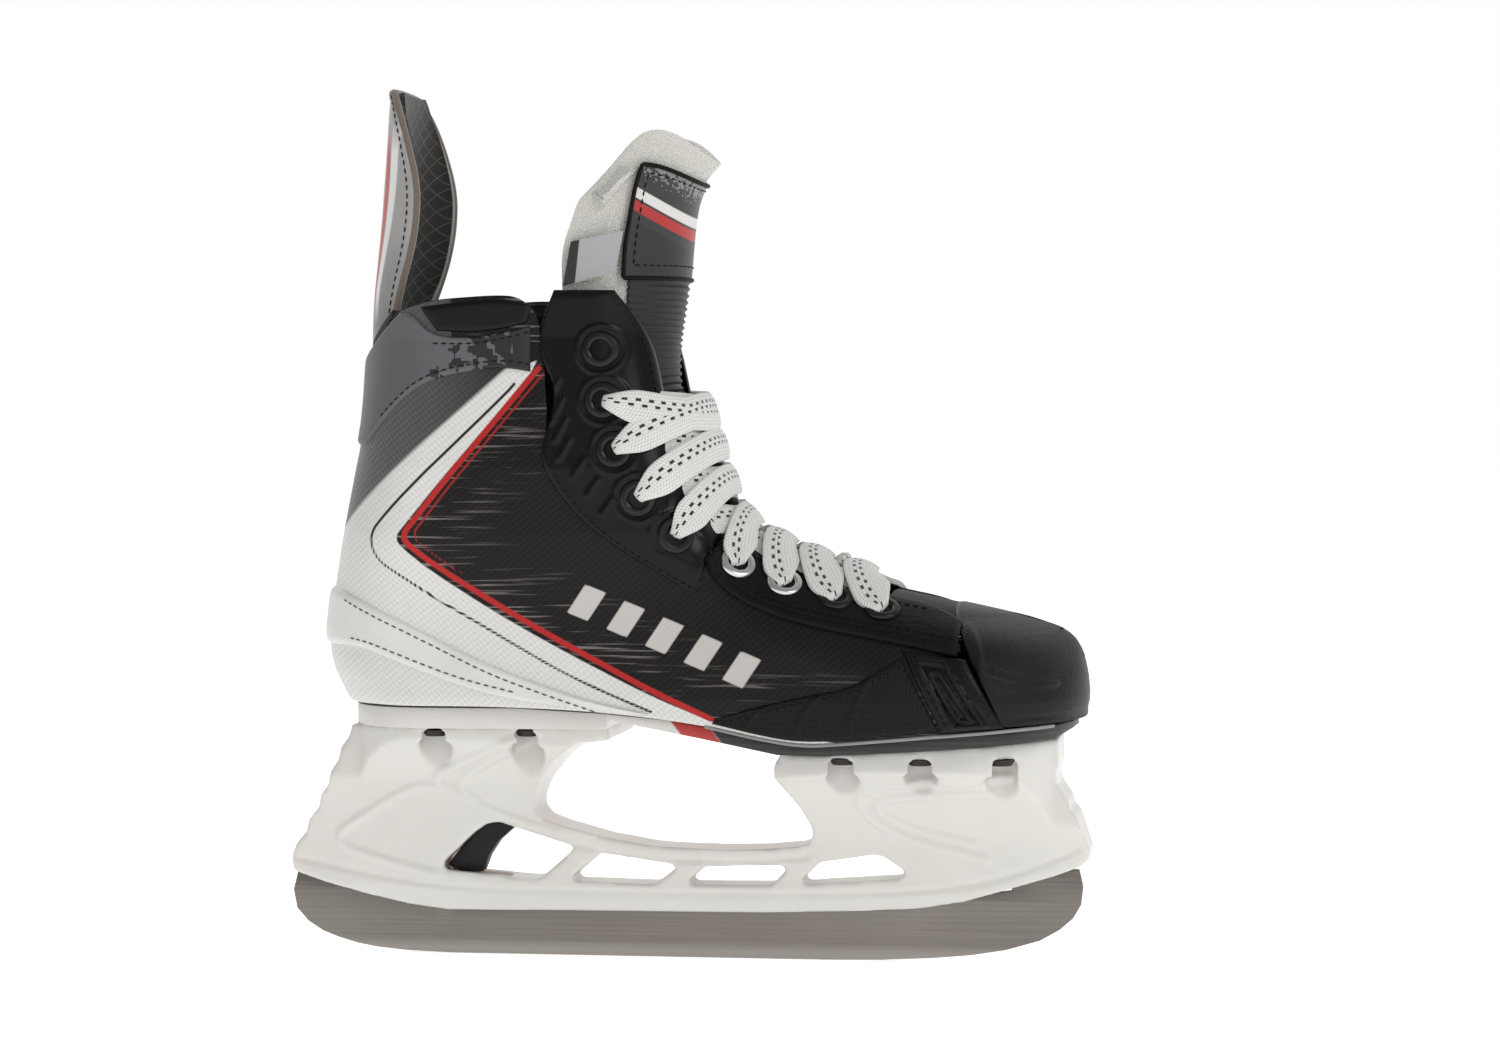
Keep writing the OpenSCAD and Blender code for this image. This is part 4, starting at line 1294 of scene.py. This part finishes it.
@dataclass
class Upper:
    """The boot's quarters, overlays, facings, toe cap and their seams."""

    quarter_low: Line = field(default_factory=lambda: [
        (-99.7, 188.6), (-100.8, 176), (-103, 160), (-106.4, 145), (-109.5, 129.5), (-112.4, 114),
        (-115.5, 103), (-115, 92), (-112.5, 84), (-110, 81.2), (-104, 81.2), (-97, 81.3),
        (-88, 81.2), (-75, 81.2), (-56, 81.2), (-30, 80.3), (-5, 78.2), (14, 75.6), (28, 72.8),
        (42, 70.8), (60, 72), (80, 74), (100, 76.2),
    ])
    quarter_high: Line = field(default_factory=lambda: [
        (-83, 203.6), (-72, 206.8), (-60, 207.6), (-52, 208), (-45, 207.6), (-39.5, 203),
        (-37.5, 196), (-37, 186), (-36, 174), (-36, 164), (-34, 154), (-31, 149), (-28, 145),
        (-24, 141), (-19, 137), (-10, 131), (0, 129), (12, 127), (25, 119), (42, 110), (58, 105.2),
        (74, 102), (89, 97.4),
    ])
    field_edge: Line = field(default_factory=lambda: [
        (-39, 188), (-41.6, 183.1), (-83.2, 135.6), (-84, 133), (-82.3, 130.6), (-73.8, 123.5),
        (-55.1, 111.3), (-38.2, 101.7), (-21.4, 92.9), (-4.7, 84.9), (14, 77.4),
    ])
    inset_edge: Line = field(default_factory=lambda: [
        (-38.6, 185.5), (-80.9, 136.2), (-81.5, 133.2), (-79.9, 131.2), (-71.8, 124.9),
        (-53.5, 113.2), (-36.6, 103.4), (-19.8, 94.4), (-4.7, 86.6), (14, 78.2),
    ])
    pin_edge: Line = field(default_factory=lambda: [
        (-46, 181), (-49.4, 177.2), (-89.8, 139.3), (-93.4, 133.4), (-91, 126.8), (-83.1, 121.8),
        (-72, 114.5), (-59.4, 107.3), (-46.7, 99.9), (-34, 92.7), (-21.4, 86.7), (-4.7, 80),
    ])
    ankle_edge: Line = field(default_factory=lambda: [
        (-106, 136), (-97.1, 143.9), (-48.8, 185.5), (-38, 195),
    ])
    heel_high: Line = field(default_factory=lambda: [
        (-111.7, 117.6), (-103.1, 116.6), (-90.1, 110.6), (-73, 102.5), (-56, 94.1), (-39.1, 88.1),
        (-22.2, 82.4), (-5.5, 79.2),
    ])
    heel_low: Line = field(default_factory=lambda: [
        (-113.7, 99.6), (-101, 99.6), (-94.4, 98.6), (-81.6, 93.7), (-64.5, 87.4), (-47.5, 83.4),
        (-30, 81.4), (-8, 79),
    ])
    yoke_high: Line = field(default_factory=lambda: [
        (-99.7, 188.4), (-94, 193.2), (-88.4, 198.4), (-83.6, 202.6), (-79, 203.4), (-72, 195.4),
        (-57, 195), (-41, 198.6),
    ])
    yoke_low: Line = field(default_factory=lambda: [
        (-102.6, 163), (-97, 161), (-90, 168.6), (-80, 178), (-72, 182.3), (-62, 184.6),
        (-50, 186), (-41, 184.4),
    ])
    upper_rear: Line = field(default_factory=lambda: [
        (-33.5, 209.4), (-38, 199), (-38.4, 189.2), (-33.6, 180), (-34.3, 172), (-37, 164),
        (-38, 156), (-30, 143.5), (-17, 131.6), (9, 116.4),
    ])
    upper_front: Line = field(default_factory=lambda: [
        (-15, 209.2), (-10, 202.4), (-6, 195), (-4, 188), (-2.4, 180), (-0.6, 171), (2, 162),
        (5.4, 153), (9.5, 145), (16.6, 134.6),
    ])
    lower_rear: Line = field(default_factory=lambda: [
        (11.5, 127.6), (14.5, 120.6), (24, 113.4), (38, 108.3), (54, 104.6), (68, 102.2),
        (80, 99.6), (90, 97.6),
    ])
    lower_front: Line = field(default_factory=lambda: [
        (17.5, 133.2), (24, 129.2), (33, 125.2), (44, 121), (56, 117.6), (68, 114.6), (80, 112.2),
        (90, 107.2),
    ])
    panel_low: Line = field(default_factory=lambda: [
        (14, 76.8), (28, 73.6), (42, 71.4), (60, 72.8), (85, 75.4),
    ])
    panel_high: Line = field(default_factory=lambda: [
        (16, 78.4), (29, 82.4), (44, 86), (58, 88.4), (73, 98),
    ])

    def quarter(self, side: Side) -> bpy.types.Object:
        """One side shell, marked with the distances that its print is drawn from."""
        layer = Layer(self.quarter_low, self.quarter_high, columns=300, steps=90, base=-0.5, rise=0.5,
                      border=1.5)
        rows, x, z = layer.side(side)
        rows[..., 1] += side.value * 0.00012
        obj = sheet(f"quarter_print_{side.name.lower()}", rows, 0)
        edge = chaikin(self.field_edge, 1)
        closed = list(map(tuple, edge)) + [(130, 60), (130, 215), (-66, 215), (-66, 189), (-44, 186)]
        mark(obj, "field", signed(x, z, closed) * MM)
        inset = [tuple(p) for p in chaikin(self.inset_edge, 1)]
        mark(obj, "red", distance_to(x, z, np.array(inset)) * MM)
        thread = np.array(shifted(inset[: len(inset) // 2], 3.4, 0.6))
        mark(obj, "thread", distance_to(x, z, thread) * MM)
        mark(obj, "pin", distance_to(x, z, chaikin(self.pin_edge, 2)) * MM)
        ankle = [tuple(p) for p in self.ankle_edge] + [(60, 195), (60, 60), (-130, 60), (-130, 136)]
        mark(obj, "ankle", -signed(x, z, ankle) * MM)
        bars = np.full(np.shape(x), 9.0)
        for k in range(5):
            bar = [(0, 110.5), (6.4, 107.9), (12.4, 116.6), (6.0, 119.2)]
            bars = np.minimum(bars, signed(x, z, shifted(bar, -31 + 12.2 * k, -5.0 * k)))
        mark(obj, "bars", bars * MM)
        apply_modifier(obj, "SOLIDIFY", thickness=1.6 * MM, offset=-1)
        smooth(obj, 40)
        return obj

    def vamp(self) -> bpy.types.Object:
        """The forefoot's top, between the facings and under the toe cap."""
        layer = Layer([(67, 116.4), (66, 111), (65, 105.4)], [(87, 112.2), (89, 106), (91, 99.4)],
                      columns=26, steps=16, base=-0.6, rise=0.6)
        return sheet("vamp_top", layer.wrapped(False)[0], 1.4)

    def toe_cap(self) -> bpy.types.Object:
        """The hard toe with a raised moulding line along each side."""
        ridge = chaikin([
            (86.2, 112.4), (94, 110.8), (102, 109.1), (109, 107.5), (114.6, 105.7), (119.4, 104),
            (123.8, 99.9), (125.8, 94), (126.8, 86), (126, 77.6),
        ], 2)
        count, columns = 74, 44
        v = np.concatenate([[0, 0.004, 0.012], np.linspace(0.02, 1, count)])
        half = 1 - np.cos(np.linspace(0, np.pi / 2, columns))
        s = np.concatenate([half[::-1], half[1:]])
        sides = np.concatenate([-np.ones(columns - 1), [0], np.ones(columns - 1)])
        top = along(ridge, v)
        low = np.stack([103.4 + 4.5 * v, np.full(len(v), 77.0)], axis=-1)
        p = top[:, None] * (1 - s[None, :, None]) + low[:, None] * s[None, :, None]
        x, z = p[..., 0], p[..., 1]
        edge = edge_round(v * 150, 2.2)[:, None]
        fold = [[(97, 93), (104, 90.5), (110, 89.5), (118, 89)], [(97, 93), (96, 100), (92, 106)]]
        foot = [[(100, 79.5), (112, 79.5), (127, 79.5)]]
        relief = Reliefs([Emboss(fold, 1.3, 0.55), Emboss(foot, 0.9, -0.35)]).height(x, z)
        lift = -0.7 + 1.2 * edge + relief * edge
        return sheet("toe_cap_shell", BootForm.skin(x, z, lift, sides[None, :]), 2.0)

    @staticmethod
    def facing_ribs() -> list[Line]:
        """Short slanted ribs behind the eyelets, as on a moulded facing."""
        ribs: list[Line] = []
        for k in range(7):
            x0, z0 = -35.5 + 1.2 * k, 174.5 - 5.6 * k
            if k > 3:
                x0 += 3.2 * (k - 3)
            ribs.append([(x0, z0), (x0 + 3.4, z0 + 7.5 - 0.5 * k)])
        return ribs

    @staticmethod
    def rings(holes: Line, radius: float) -> list[Line]:
        """A circle round each lace hole."""
        turns = np.linspace(0, TAU, 25)
        return [[(x + radius * math.cos(a), z + radius * math.sin(a)) for a in turns] for x, z in holes]

    def build(self, finishes: Finishes, holes: Line) -> None:
        """Makes and dresses the pieces.

        Args:
            finishes: every material.
            holes: the lace holes, from the top.
        """
        for side in Side:
            self.facings(finishes, side, holes)
            self.panels(finishes, side)
        finishes.cover(self.vamp(), "vamp", "leather black")
        finishes.cover(self.toe_cap(), "toe_cap", "toe plastic")
        layer = Layer(self.heel_low, self.heel_high, columns=50, steps=22, base=-0.1, rise=1.5, border=1.6)
        obj = sheet("heel_overlay_band", layer.wrapped(True)[0], 0.8)
        finishes.cover(obj, "heel_overlay", "heel white")
        layer = Layer(self.yoke_low, self.yoke_high, columns=50, steps=30, base=-0.1, rise=1.4, border=1.4)
        obj = sheet("ankle_yoke_overlay", layer.wrapped(True)[0], 0.8)
        finishes.cover(obj, "ankle_yoke", "yoke")
        self.lining(finishes)
        self.seams(finishes)

    def facings(self, finishes: Finishes, side: Side, holes: Line) -> None:
        """The quarter of one side and the two facings on it.

        Args:
            finishes: every material.
            side: the side.
            holes: the lace holes, from the top.
        """
        tag = side.name.lower()
        finishes.cover(self.quarter(side), f"quarter_{tag}", "quarter")
        rings = self.rings(holes[:5], 7.3)
        moulding = Reliefs([Emboss(self.facing_ribs(), 1.1, 0.7, 0), Emboss(rings, 0.9, 0.5, 0)])
        layer = Layer(self.upper_rear, self.upper_front, columns=150, steps=70, base=0.0, rise=1.5)
        obj = sheet(f"upper_facing_moulding_{tag}", layer.side(side, moulding)[0], 1.0)
        finishes.cover(obj, f"upper_facing_{tag}", "gloss black")
        layer = Layer(self.lower_rear, self.lower_front, columns=120, steps=30, base=0.2, rise=1.7)
        obj = sheet(f"lower_facing_leather_{tag}", layer.side(side)[0], 1.0)
        finishes.cover(obj, f"lower_facing_{tag}", "leather black")

    def panels(self, finishes: Finishes, side: Side) -> None:
        """The panels of one side, low at the front and high on the collar.

        Args:
            finishes: every material.
            side: the side.
        """
        tag = side.name.lower()
        curves = [[(24, 73.5), (27, 79), (33, 84)],
                  [(40, 71), (42, 79), (49, 87)],
                  [(57, 72), (58, 80), (64, 92)]]
        layer = Layer(self.panel_low, self.panel_high, columns=90, steps=32, base=0.0, rise=1.1)
        obj = sheet(f"side_panel_relief_{tag}", layer.side(side, Emboss(curves, 1.2, 0.6))[0], 0.8)
        finishes.cover(obj, f"side_panel_{tag}", "panel")
        nested = [[(78, 96.5), (86, 95.5), (98, 77.5), (89, 77), (78, 96.5)],
                  [(81.5, 93.5), (84.5, 93), (94.5, 79), (90.5, 79), (81.5, 93.5)]]
        layer = Layer([(85.3, 75.2), (94, 75.8), (104, 76.6)], [(73.5, 99.5), (82, 98.4), (92.5, 97)],
                      columns=40, steps=50, base=0.1, rise=1.3)
        obj = sheet(f"side_rib_panel_{tag}", layer.side(side, Emboss(nested, 0.9, 0.8, 0))[0], 0.8)
        finishes.cover(obj, f"side_ribs_{tag}", "rib black")
        layer = Layer([(-70.5, 197.2), (-60, 196.6), (-50, 197.4), (-42, 199.6)],
                      [(-76, 204.6), (-64, 206), (-50, 207.2), (-40.5, 205)],
                      columns=40, steps=14, base=0.0, rise=0.9)
        obj = sheet(f"collar_badge_panel_{tag}", layer.side(side)[0], 0.6)
        finishes.cover(obj, f"collar_badge_{tag}", "gloss black")

    def lining(self, finishes: Finishes) -> None:
        """The padded ankle lining, quilted in soft channels."""
        layer = Layer([(-112.8, 112), (-100, 112), (-86, 112), (-66, 114), (-44, 118)],
                      [(-99.8, 187), (-92, 193), (-80, 203.8), (-60, 206.8), (-44, 204.4)],
                      columns=30, steps=40, base=-3.6, rise=1.6, border=5)
        quilt = Emboss([[(-110, 130), (-44, 130)], [(-108, 148), (-44, 148)], [(-104, 166), (-44, 166)],
                        [(-102, 184), (-44, 184)]], 2.5, -0.8, 0)
        obj = sheet("ankle_lining_pad", layer.wrapped(True, quilt)[0], 4.2)
        finishes.cover(obj, "ankle_lining", "black knit")

    def seams(self, finishes: Finishes) -> None:
        """Every visible row of stitches."""
        grey = both(shifted(self.heel_high[1:-1], 0, -2.6), 1.5)
        grey += both(shifted(self.heel_low[1:-2], 0, 2.4), 1.5)
        finishes.dress(stitches("heel_stitches", grey), "grey thread", "boot")
        dark = both(shifted(self.yoke_low[2:], 0.6, 2.2), 1.45)
        dark += both(shifted(self.yoke_high[5:], 0, -2.0), 1.45)
        finishes.dress(stitches("yoke_stitches", dark), "black thread", "boot")
        face = both(shifted(self.upper_rear[1:], 2.4, 0), 1.65)
        face += both(shifted(self.upper_front, -2.2, 0), 1.65)
        face += both(shifted(self.lower_rear, 1.0, 2.4), 2.05)
        face += both(shifted(self.lower_rear, 1.0, 4.0), 2.05)
        face += both(shifted(self.lower_front[:-1], -0.6, -2.2), 2.05)
        face += both(shifted(self.panel_high, 0.8, -2.0), 1.25)
        face += both([(76.5, 97.6), (87, 76.4)], 1.55, 0) + both([(89.5, 96), (101.5, 77.4)], 1.55, 0)
        finishes.dress(stitches("facing_stitches", face), "black thread", "boot")


@dataclass
class Lacing:
    """Eyelets and the flat lace that criss-crosses the throat."""

    holes: Line = field(default_factory=lambda: [
        (-19.2, 191), (-18.3, 175.5), (-14.7, 160.5), (-7.6, 145.8), (3.2, 134.2), (21.2, 124.6),
        (35.8, 118.4), (51.6, 113.8), (65.9, 110.4),
    ])
    crests: tuple[float, ...] = (169.5, 171.5, 160.0, 148.5, 136.8, 129.2, 124.2, 119.6)
    width: float = 11.0
    thick: float = 1.7

    def strand(self, index: int, side: Side, over: bool) -> tuple[np.ndarray, np.ndarray]:
        """One pass of the lace, out of a hole, over the top line and down behind the other facing.

        Args:
            index: the hole, from 1.
            side: the side it starts on.
            over: whether it lies on top where two passes cross.

        Returns:
            The strip's rows of points, and its UV places.
        """
        a = np.array(self.holes[index])
        crest = BootForm.crest(self.crests[index - 1])
        a = a - (crest - a) / np.linalg.norm(crest - a) * 1.2
        other = np.array(self.holes[max(index - 1, 1)])
        end = other + (BootForm.crest(self.crests[max(index - 2, 0)] + 3) - other) * 0.35
        n_up, n_down, across = 26, 20, 9
        w = np.linspace(-1, 1, across)
        line = by_length(BootForm.top, 0.5)
        middle = int(np.argmin(np.abs(line[:, 1] - crest[1])))
        numbers = np.arange(len(line))
        ridge = np.stack([np.interp(middle + w * self.width, numbers, line[:, i]) for i in (0, 1)], axis=-1)
        peak = ridge[across // 2]
        rows, uvs = [], []
        run = 0.0
        previous = None
        top_lift = 4.8 if over else 2.7
        for i in range(n_up + n_down + 1):
            rising = i <= n_up
            k = math.sin(math.pi / 2 * i / n_up) if rising else math.cos(math.pi / 2 * (i - n_up) / n_down)
            start = a if rising else end
            side_now = 0 if i == n_up else (side.value if rising else -side.value)
            if rising:
                lift = 3.0 + (top_lift - 3.0) * k - 5.5 * max(0.0, 1 - k / 0.09) ** 1.5
                opening = min(1.0, k / 0.5)
                wide = 0.30 + 0.70 * opening * opening * (3 - 2 * opening)
            else:
                lift = -1.2 + (top_lift + 1.2) * min(1.0, k * 1.25)
                wide = 1.0
            direction = (peak - start) / np.linalg.norm(peak - start)
            turn = np.array([-direction[1], direction[0]])
            if turn @ (ridge[-1] - ridge[0]) < 0:
                turn = -turn
            centre = start + (peak - start) * k
            flat = turn[None] * (w * self.width / 2 * wide)[:, None]
            p = centre[None] + (flat * (1 - k) + (ridge - peak) * k)
            crown = (1 - w ** 2) * (1.4 * (1 - wide) + 1.2 * k ** 3) + (1 - w ** 4) * 0.3
            pts = BootForm.skin(p[:, 0], p[:, 1], lift + crown, side_now)
            mid = pts[across // 2]
            run += 0 if previous is None else float(np.linalg.norm(mid - previous)) / MM
            previous = mid
            rows.append(pts)
            uvs.append(np.stack([np.full(across, run), w], axis=-1))
        return np.array(rows), np.array(uvs)

    def lace(self) -> bpy.types.Object:
        """All passes of the lace as one mesh with a wall."""
        parts = []
        for index in range(1, 9):
            for side in Side:
                rows, uvs = self.strand(index, side, side is Side.RIGHT)
                obj = sheet(f"pass_{index}_{side.name}", rows, 0)
                layer = obj.data.uv_layers[0]
                layer.name = "lace"
                flat = uvs.reshape(-1, 2)
                loops = np.empty(len(obj.data.loops), dtype=np.int32)
                obj.data.loops.foreach_get("vertex_index", loops)
                layer.data.foreach_set("uv", flat[loops].astype(np.float32).ravel())
                apply_modifier(obj, "SOLIDIFY", thickness=self.thick * MM, offset=-1)
                ease(obj, 0.45, degrees=60)
                smooth(obj, 60)
                parts.append(obj)
        deselect()
        for obj in parts:
            obj.select_set(True)
        bpy.context.view_layer.objects.active = parts[0]
        bpy.ops.object.join()
        parts[0].name = parts[0].data.name = "lace_criss_cross"
        return parts[0]

    def build(self, finishes: Finishes) -> None:
        """Makes and dresses the pieces."""
        rings = from_node("eyelets_black_rings", "eyelets_black", 0.2)
        finishes.dress(rings, "eyelet black", "boot")
        rings = from_node("eyelets_silver_rings", "eyelets_silver", 0.2)
        finishes.dress(rings, "silver", "boot")
        finishes.cover(self.lace(), "laces", "lace")


@dataclass
class Tongue:
    """Felt tongue with its printed cap, ribbed panel and tag.

    Each station is x, z, the lean of its outward side, half width, drop of its edges and rise of
    its shoulders.
    """

    stations: list[tuple[float, ...]] = field(default_factory=lambda: [
        (66, 112, 76, 20, 3, 0), (48, 116.4, 70, 24, 6, 0), (30.6, 122.8, 62, 26, 10, 0),
        (16, 131.6, 45, 27, 16, 0), (8.4, 142.4, 26, 27, 22, 0), (4.6, 154, 18, 27, 27, 0),
        (1, 166, 15, 27, 30, 0), (-1.6, 178, 11, 28, 32, 0), (-2, 190, 4, 28, 32, 0),
        (-0.7, 199.6, 0, 28.4, 31, 0), (1, 210, 0, 29.5, 33, 0), (2, 222, 0, 30, 34, 0),
        (3, 232, 2, 30, 32, 1.5), (4.6, 239, 4, 29.5, 31.5, 5), (8, 244.5, 8, 28, 32, 9),
        (12.4, 249.2, 12, 26, 33, 13),
    ])
    felt: float = 7.0

    def arch(self, start: float, stop: float, rows: int, columns: int, lift: float, reach: float) -> Rows:
        """Rows of points across the tongue between two stations.

        Args:
            start: first station, by number.
            stop: last station.
            rows: how many rows.
            columns: how many points in each.
            lift: height over the felt's face in millimetres.
            reach: how far round the arch they go, in degrees each way.

        Returns:
            The rows, in metres.
        """
        base = chaikin(self.stations, 2)
        count = len(self.stations) - 1
        s = along(base, np.linspace(start / count, stop / count, rows))
        a = np.radians(np.linspace(-reach, reach, columns))[None]
        full = math.radians(80)
        lean = np.radians(s[:, 2:3])
        drop = s[:, 4:5] * (1 - np.cos(a)) / (1 - math.cos(full))
        y = (s[:, 3:4] + lift) * np.sin(a) / math.sin(full)
        x = s[:, 0:1] + np.cos(lean) * (lift - drop)
        z = s[:, 1:2] + np.sin(lean) * (lift - drop) + s[:, 5:6] * np.sin(math.pi * (a / full) ** 2)
        return np.stack([x, y, z], axis=-1) * MM

    def build(self, finishes: Finishes) -> None:
        """Makes and dresses the pieces."""
        count, columns = 150, 60
        rows = self.arch(0, 15, count, columns, 0, 80)
        rng = random.Random(4)
        wave = [[math.sin(i * 0.21 + 1.3) * 0.12 + rng.uniform(-0.04, 0.04) for _ in range(columns)]
                for i in range(count)]
        rows[..., 0] += np.array(wave) * MM
        felt = sheet("tongue_felt", rows, self.felt, (1.0, 0.0, 0.4))
        ease(felt, 2.4, segments=4)
        smooth(felt, 60)
        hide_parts("tongue_lower", "tongue_upper")
        finishes.dress(felt, "white felt", "")
        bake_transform(felt)
        cap = sheet("tongue_cap_print", self.arch(10.4, 13.9, 60, 50, 1.6, 54), 1.2, (1.0, 0.0, 0.0))
        finishes.cover(cap, "tongue_cap", "cap", "tongue_top")
        piping = cord_mesh("tongue_cap_piping", borders(self.arch(10.4, 13.9, 60, 50, 1.7, 54)), 0.7)
        finishes.dress(piping, "leather black", "tongue_top")
        sewn = stitches("tongue_cap_stitches", borders(self.arch(10.75, 13.6, 60, 50, 1.8, 49)))
        finishes.dress(sewn, "black thread", "tongue_top")
        ribbed = self.arch(6.2, 10.5, 170, 40, 1.0, 50)
        ripple = np.sin(np.linspace(0, TAU * 21, 170))[:, None] * 0.35
        ribbed[..., 0] += ripple * MM
        panel = sheet("tongue_ribbed_panel", ribbed, 0.8, (1.0, 0.0, 0.3))
        finishes.cover(panel, "tongue_panel", "ribbed rubber", "")
        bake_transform(panel)
        self.tag(finishes)

    def tag(self, finishes: Finishes) -> None:
        """The satin tag at the tongue's right edge."""
        columns, count = 14, 16
        u, v = np.meshgrid(np.linspace(0, 1, columns), np.linspace(0, 1, count))
        x = -31.4 + 16.4 * u + 2.6 * v
        z = 210.6 + 4.2 * u + 13.6 * v - 1.2 * u * v
        y = -31.7 - 0.5 * np.sin(math.pi * u) * v
        tag = sheet("size_tag_ribbon", np.stack([x, y, z], axis=-1) * MM, 0.5, (0.0, -1.0, 0.0))
        finishes.cover(tag, "size_tag", "tag", "tongue_top")


@dataclass
class Guard:
    """Tendon guard: printed shell, felt rim, piping and mesh liner.

    Each station is its height at the back, height at the wings, back x, half width and depth of the wings.
    """

    stations: list[tuple[float, ...]] = field(default_factory=lambda: [
        (191.6, 206.4, -98.6, 23.5, 13.5), (199, 210, -98.4, 24.5, 14.5),
        (208, 215, -97.9, 26, 16), (219, 223, -96.7, 26.4, 17.6), (231, 232.5, -95.4, 26.4, 18.2),
        (243, 243, -94.4, 26.4, 17.4), (256, 256, -92.9, 25.4, 12), (266, 265.6, -91.8, 22.6, 7),
        (272.4, 271.4, -90.8, 17, 2.6),
    ])

    def rows(self, lift: float, reach: float = 82, count: int = 60, columns: int = 56) -> Rows:
        """Rows of points round the guard.

        Args:
            lift: how far out of its outer face, in millimetres.
            reach: how far round they go, in degrees each way.
            count: how many rows.
            columns: how many points in each.

        Returns:
            The rows, in metres.
        """
        s = along(chaikin(self.stations, 2), np.linspace(0, 1, count))
        a = np.radians(np.linspace(-reach, reach, columns))[None]
        wing = 1 - np.cos(a)
        x = s[:, 2:3] - lift + (s[:, 4:5] + lift) * wing
        y = (s[:, 3:4] + lift) * np.sin(a)
        z = s[:, 0:1] + (s[:, 1:2] - s[:, 0:1]) * wing
        return np.stack([x, y, z], axis=-1) * MM

    def build(self, finishes: Finishes) -> None:
        """Makes and dresses the pieces."""
        shell = sheet("guard_outer_shell", self.rows(0), 2.0, (-1.0, 0.0, 0.0))
        finishes.cover(shell, "guard_shell", "guard", "guard")
        liner = sheet("guard_mesh_liner", self.rows(-2.2, 81), 3.0, (-1.0, 0.0, 0.0))
        ease(liner, 0.8)
        smooth(liner, 60)
        finishes.cover(liner, "guard_liner", "guard_mesh", "guard")
        rim = cord_mesh("guard_felt_rim", [self.round_top(self.rows(-1.6))], 1.5)
        finishes.dress(rim, "guard felt", "guard")
        piping = cord_mesh("guard_piping", [self.round_top(self.rows(-3.6))], 0.8)
        finishes.dress(piping, "grey piping", "guard")
        sewn = stitches("guard_stitches", [self.round_top(self.rows(0.15, 75), -2)])
        finishes.dress(sewn, "black thread", "guard")

    @staticmethod
    def round_top(rows: Rows, high: int = -1) -> np.ndarray:
        """A line up the first column of rows, along one high row and down the last column."""
        return np.concatenate([rows[:, 0], rows[high, 1:-1], rows[::-1, -1]])


@dataclass
class Studio:
    """Pale floor, soft lights and the camera."""

    target: Point = (0.0214, 0.0, 0.1355)
    azimuth: float = 9.0
    elevation: float = 2.0
    roll: float = 0.35
    distance: float = 1.110

    def build(self) -> None:
        """Puts up the studio."""
        deselect()
        bpy.ops.mesh.primitive_plane_add(size=14)
        floor = bpy.context.object
        floor.name = "floor"
        s = Shader("pale floor")
        glow = {"Emission_Color": (1, 1, 1, 1), "Emission_Strength": 0.66}
        floor.data.materials.append(s.finish((0.9, 0.9, 0.9, 1), 0.9, Specular_IOR_Level=0.0, **glow))
        world = bpy.data.worlds.new("studio")
        bpy.context.scene.world = world
        world.use_nodes = True
        self.sky(world.node_tree)
        self.light("key", (1.1, -0.8, 1.0), 7.0, 0.7)
        self.light("front", (0.3, -1.5, 0.5), 1.5, 0.9)
        self.light("rim", (-0.8, 0.9, 1.0), 3.0, 0.8)
        a, e = math.radians(self.azimuth), math.radians(self.elevation)
        back = np.array([math.sin(a) * math.cos(e), -math.cos(a) * math.cos(e), math.sin(e)])
        place = np.array(self.target) + back * self.distance
        data = bpy.data.cameras.new("camera")
        data.lens, data.sensor_width = 85, 36
        camera = bpy.data.objects.new("camera", data)
        bpy.context.scene.collection.objects.link(camera)
        camera.location = place
        camera.rotation_euler = (math.radians(90 - self.elevation), math.radians(self.roll), a)
        bpy.context.scene.camera = camera
        bpy.context.scene.view_settings.view_transform = "Standard"

    def sky(self, tree: bpy.types.NodeTree) -> None:
        """A white backdrop behind the boot and a dimmer room on the other sides."""
        place = tree.nodes.new("ShaderNodeTexCoord")
        split = tree.nodes.new("ShaderNodeSeparateXYZ")
        tree.links.new(place.outputs["Generated"], split.inputs[0])
        ramp = tree.nodes.new("ShaderNodeMapRange")
        tree.links.new(split.outputs["Y"], ramp.inputs[0])
        for index, value in enumerate((0.1, 0.7, 0.36, 1.0), start=1):
            ramp.inputs[index].default_value = value
        back = tree.nodes["Background"]
        back.inputs["Color"].default_value = (1, 1, 1, 1)
        path = tree.nodes.new("ShaderNodeLightPath")
        mix = tree.nodes.new("ShaderNodeMix")
        tree.links.new(path.outputs["Is Camera Ray"], mix.inputs["Factor"])
        tree.links.new(ramp.outputs[0], mix.inputs["A"])
        mix.inputs["B"].default_value = 1.0
        tree.links.new(mix.outputs[0], back.inputs["Strength"])

    def light(self, name: str, place: Point, power: float, size: float) -> None:
        """A soft square light aimed at the boot.

        Args:
            name: its name.
            place: where it stands, in metres.
            power: in watts.
            size: the square's side, in metres.
        """
        data = bpy.data.lights.new(name, "AREA")
        data.energy, data.size = power, size
        lamp = bpy.data.objects.new(name, data)
        bpy.context.scene.collection.objects.link(lamp)
        lamp.location = place
        aim = np.array([0.0, 0.0, 0.12]) - np.array(place)
        flat = math.hypot(aim[0], aim[1])
        lamp.rotation_euler = (math.atan2(flat, -aim[2]), 0, math.atan2(-aim[0], aim[1]))


def main() -> None:
    """Builds the studio and each sub-assembly in order."""
    logging.basicConfig(level=logging.INFO)
    Studio().build()
    finishes = Finishes()
    Holder().build(finishes)
    Sole().build(finishes)
    lacing = Lacing()
    Upper().build(finishes, lacing.holes)
    lacing.build(finishes)
    Tongue().build(finishes)
    Guard().build(finishes)


if __name__ == "__main__":
    main()
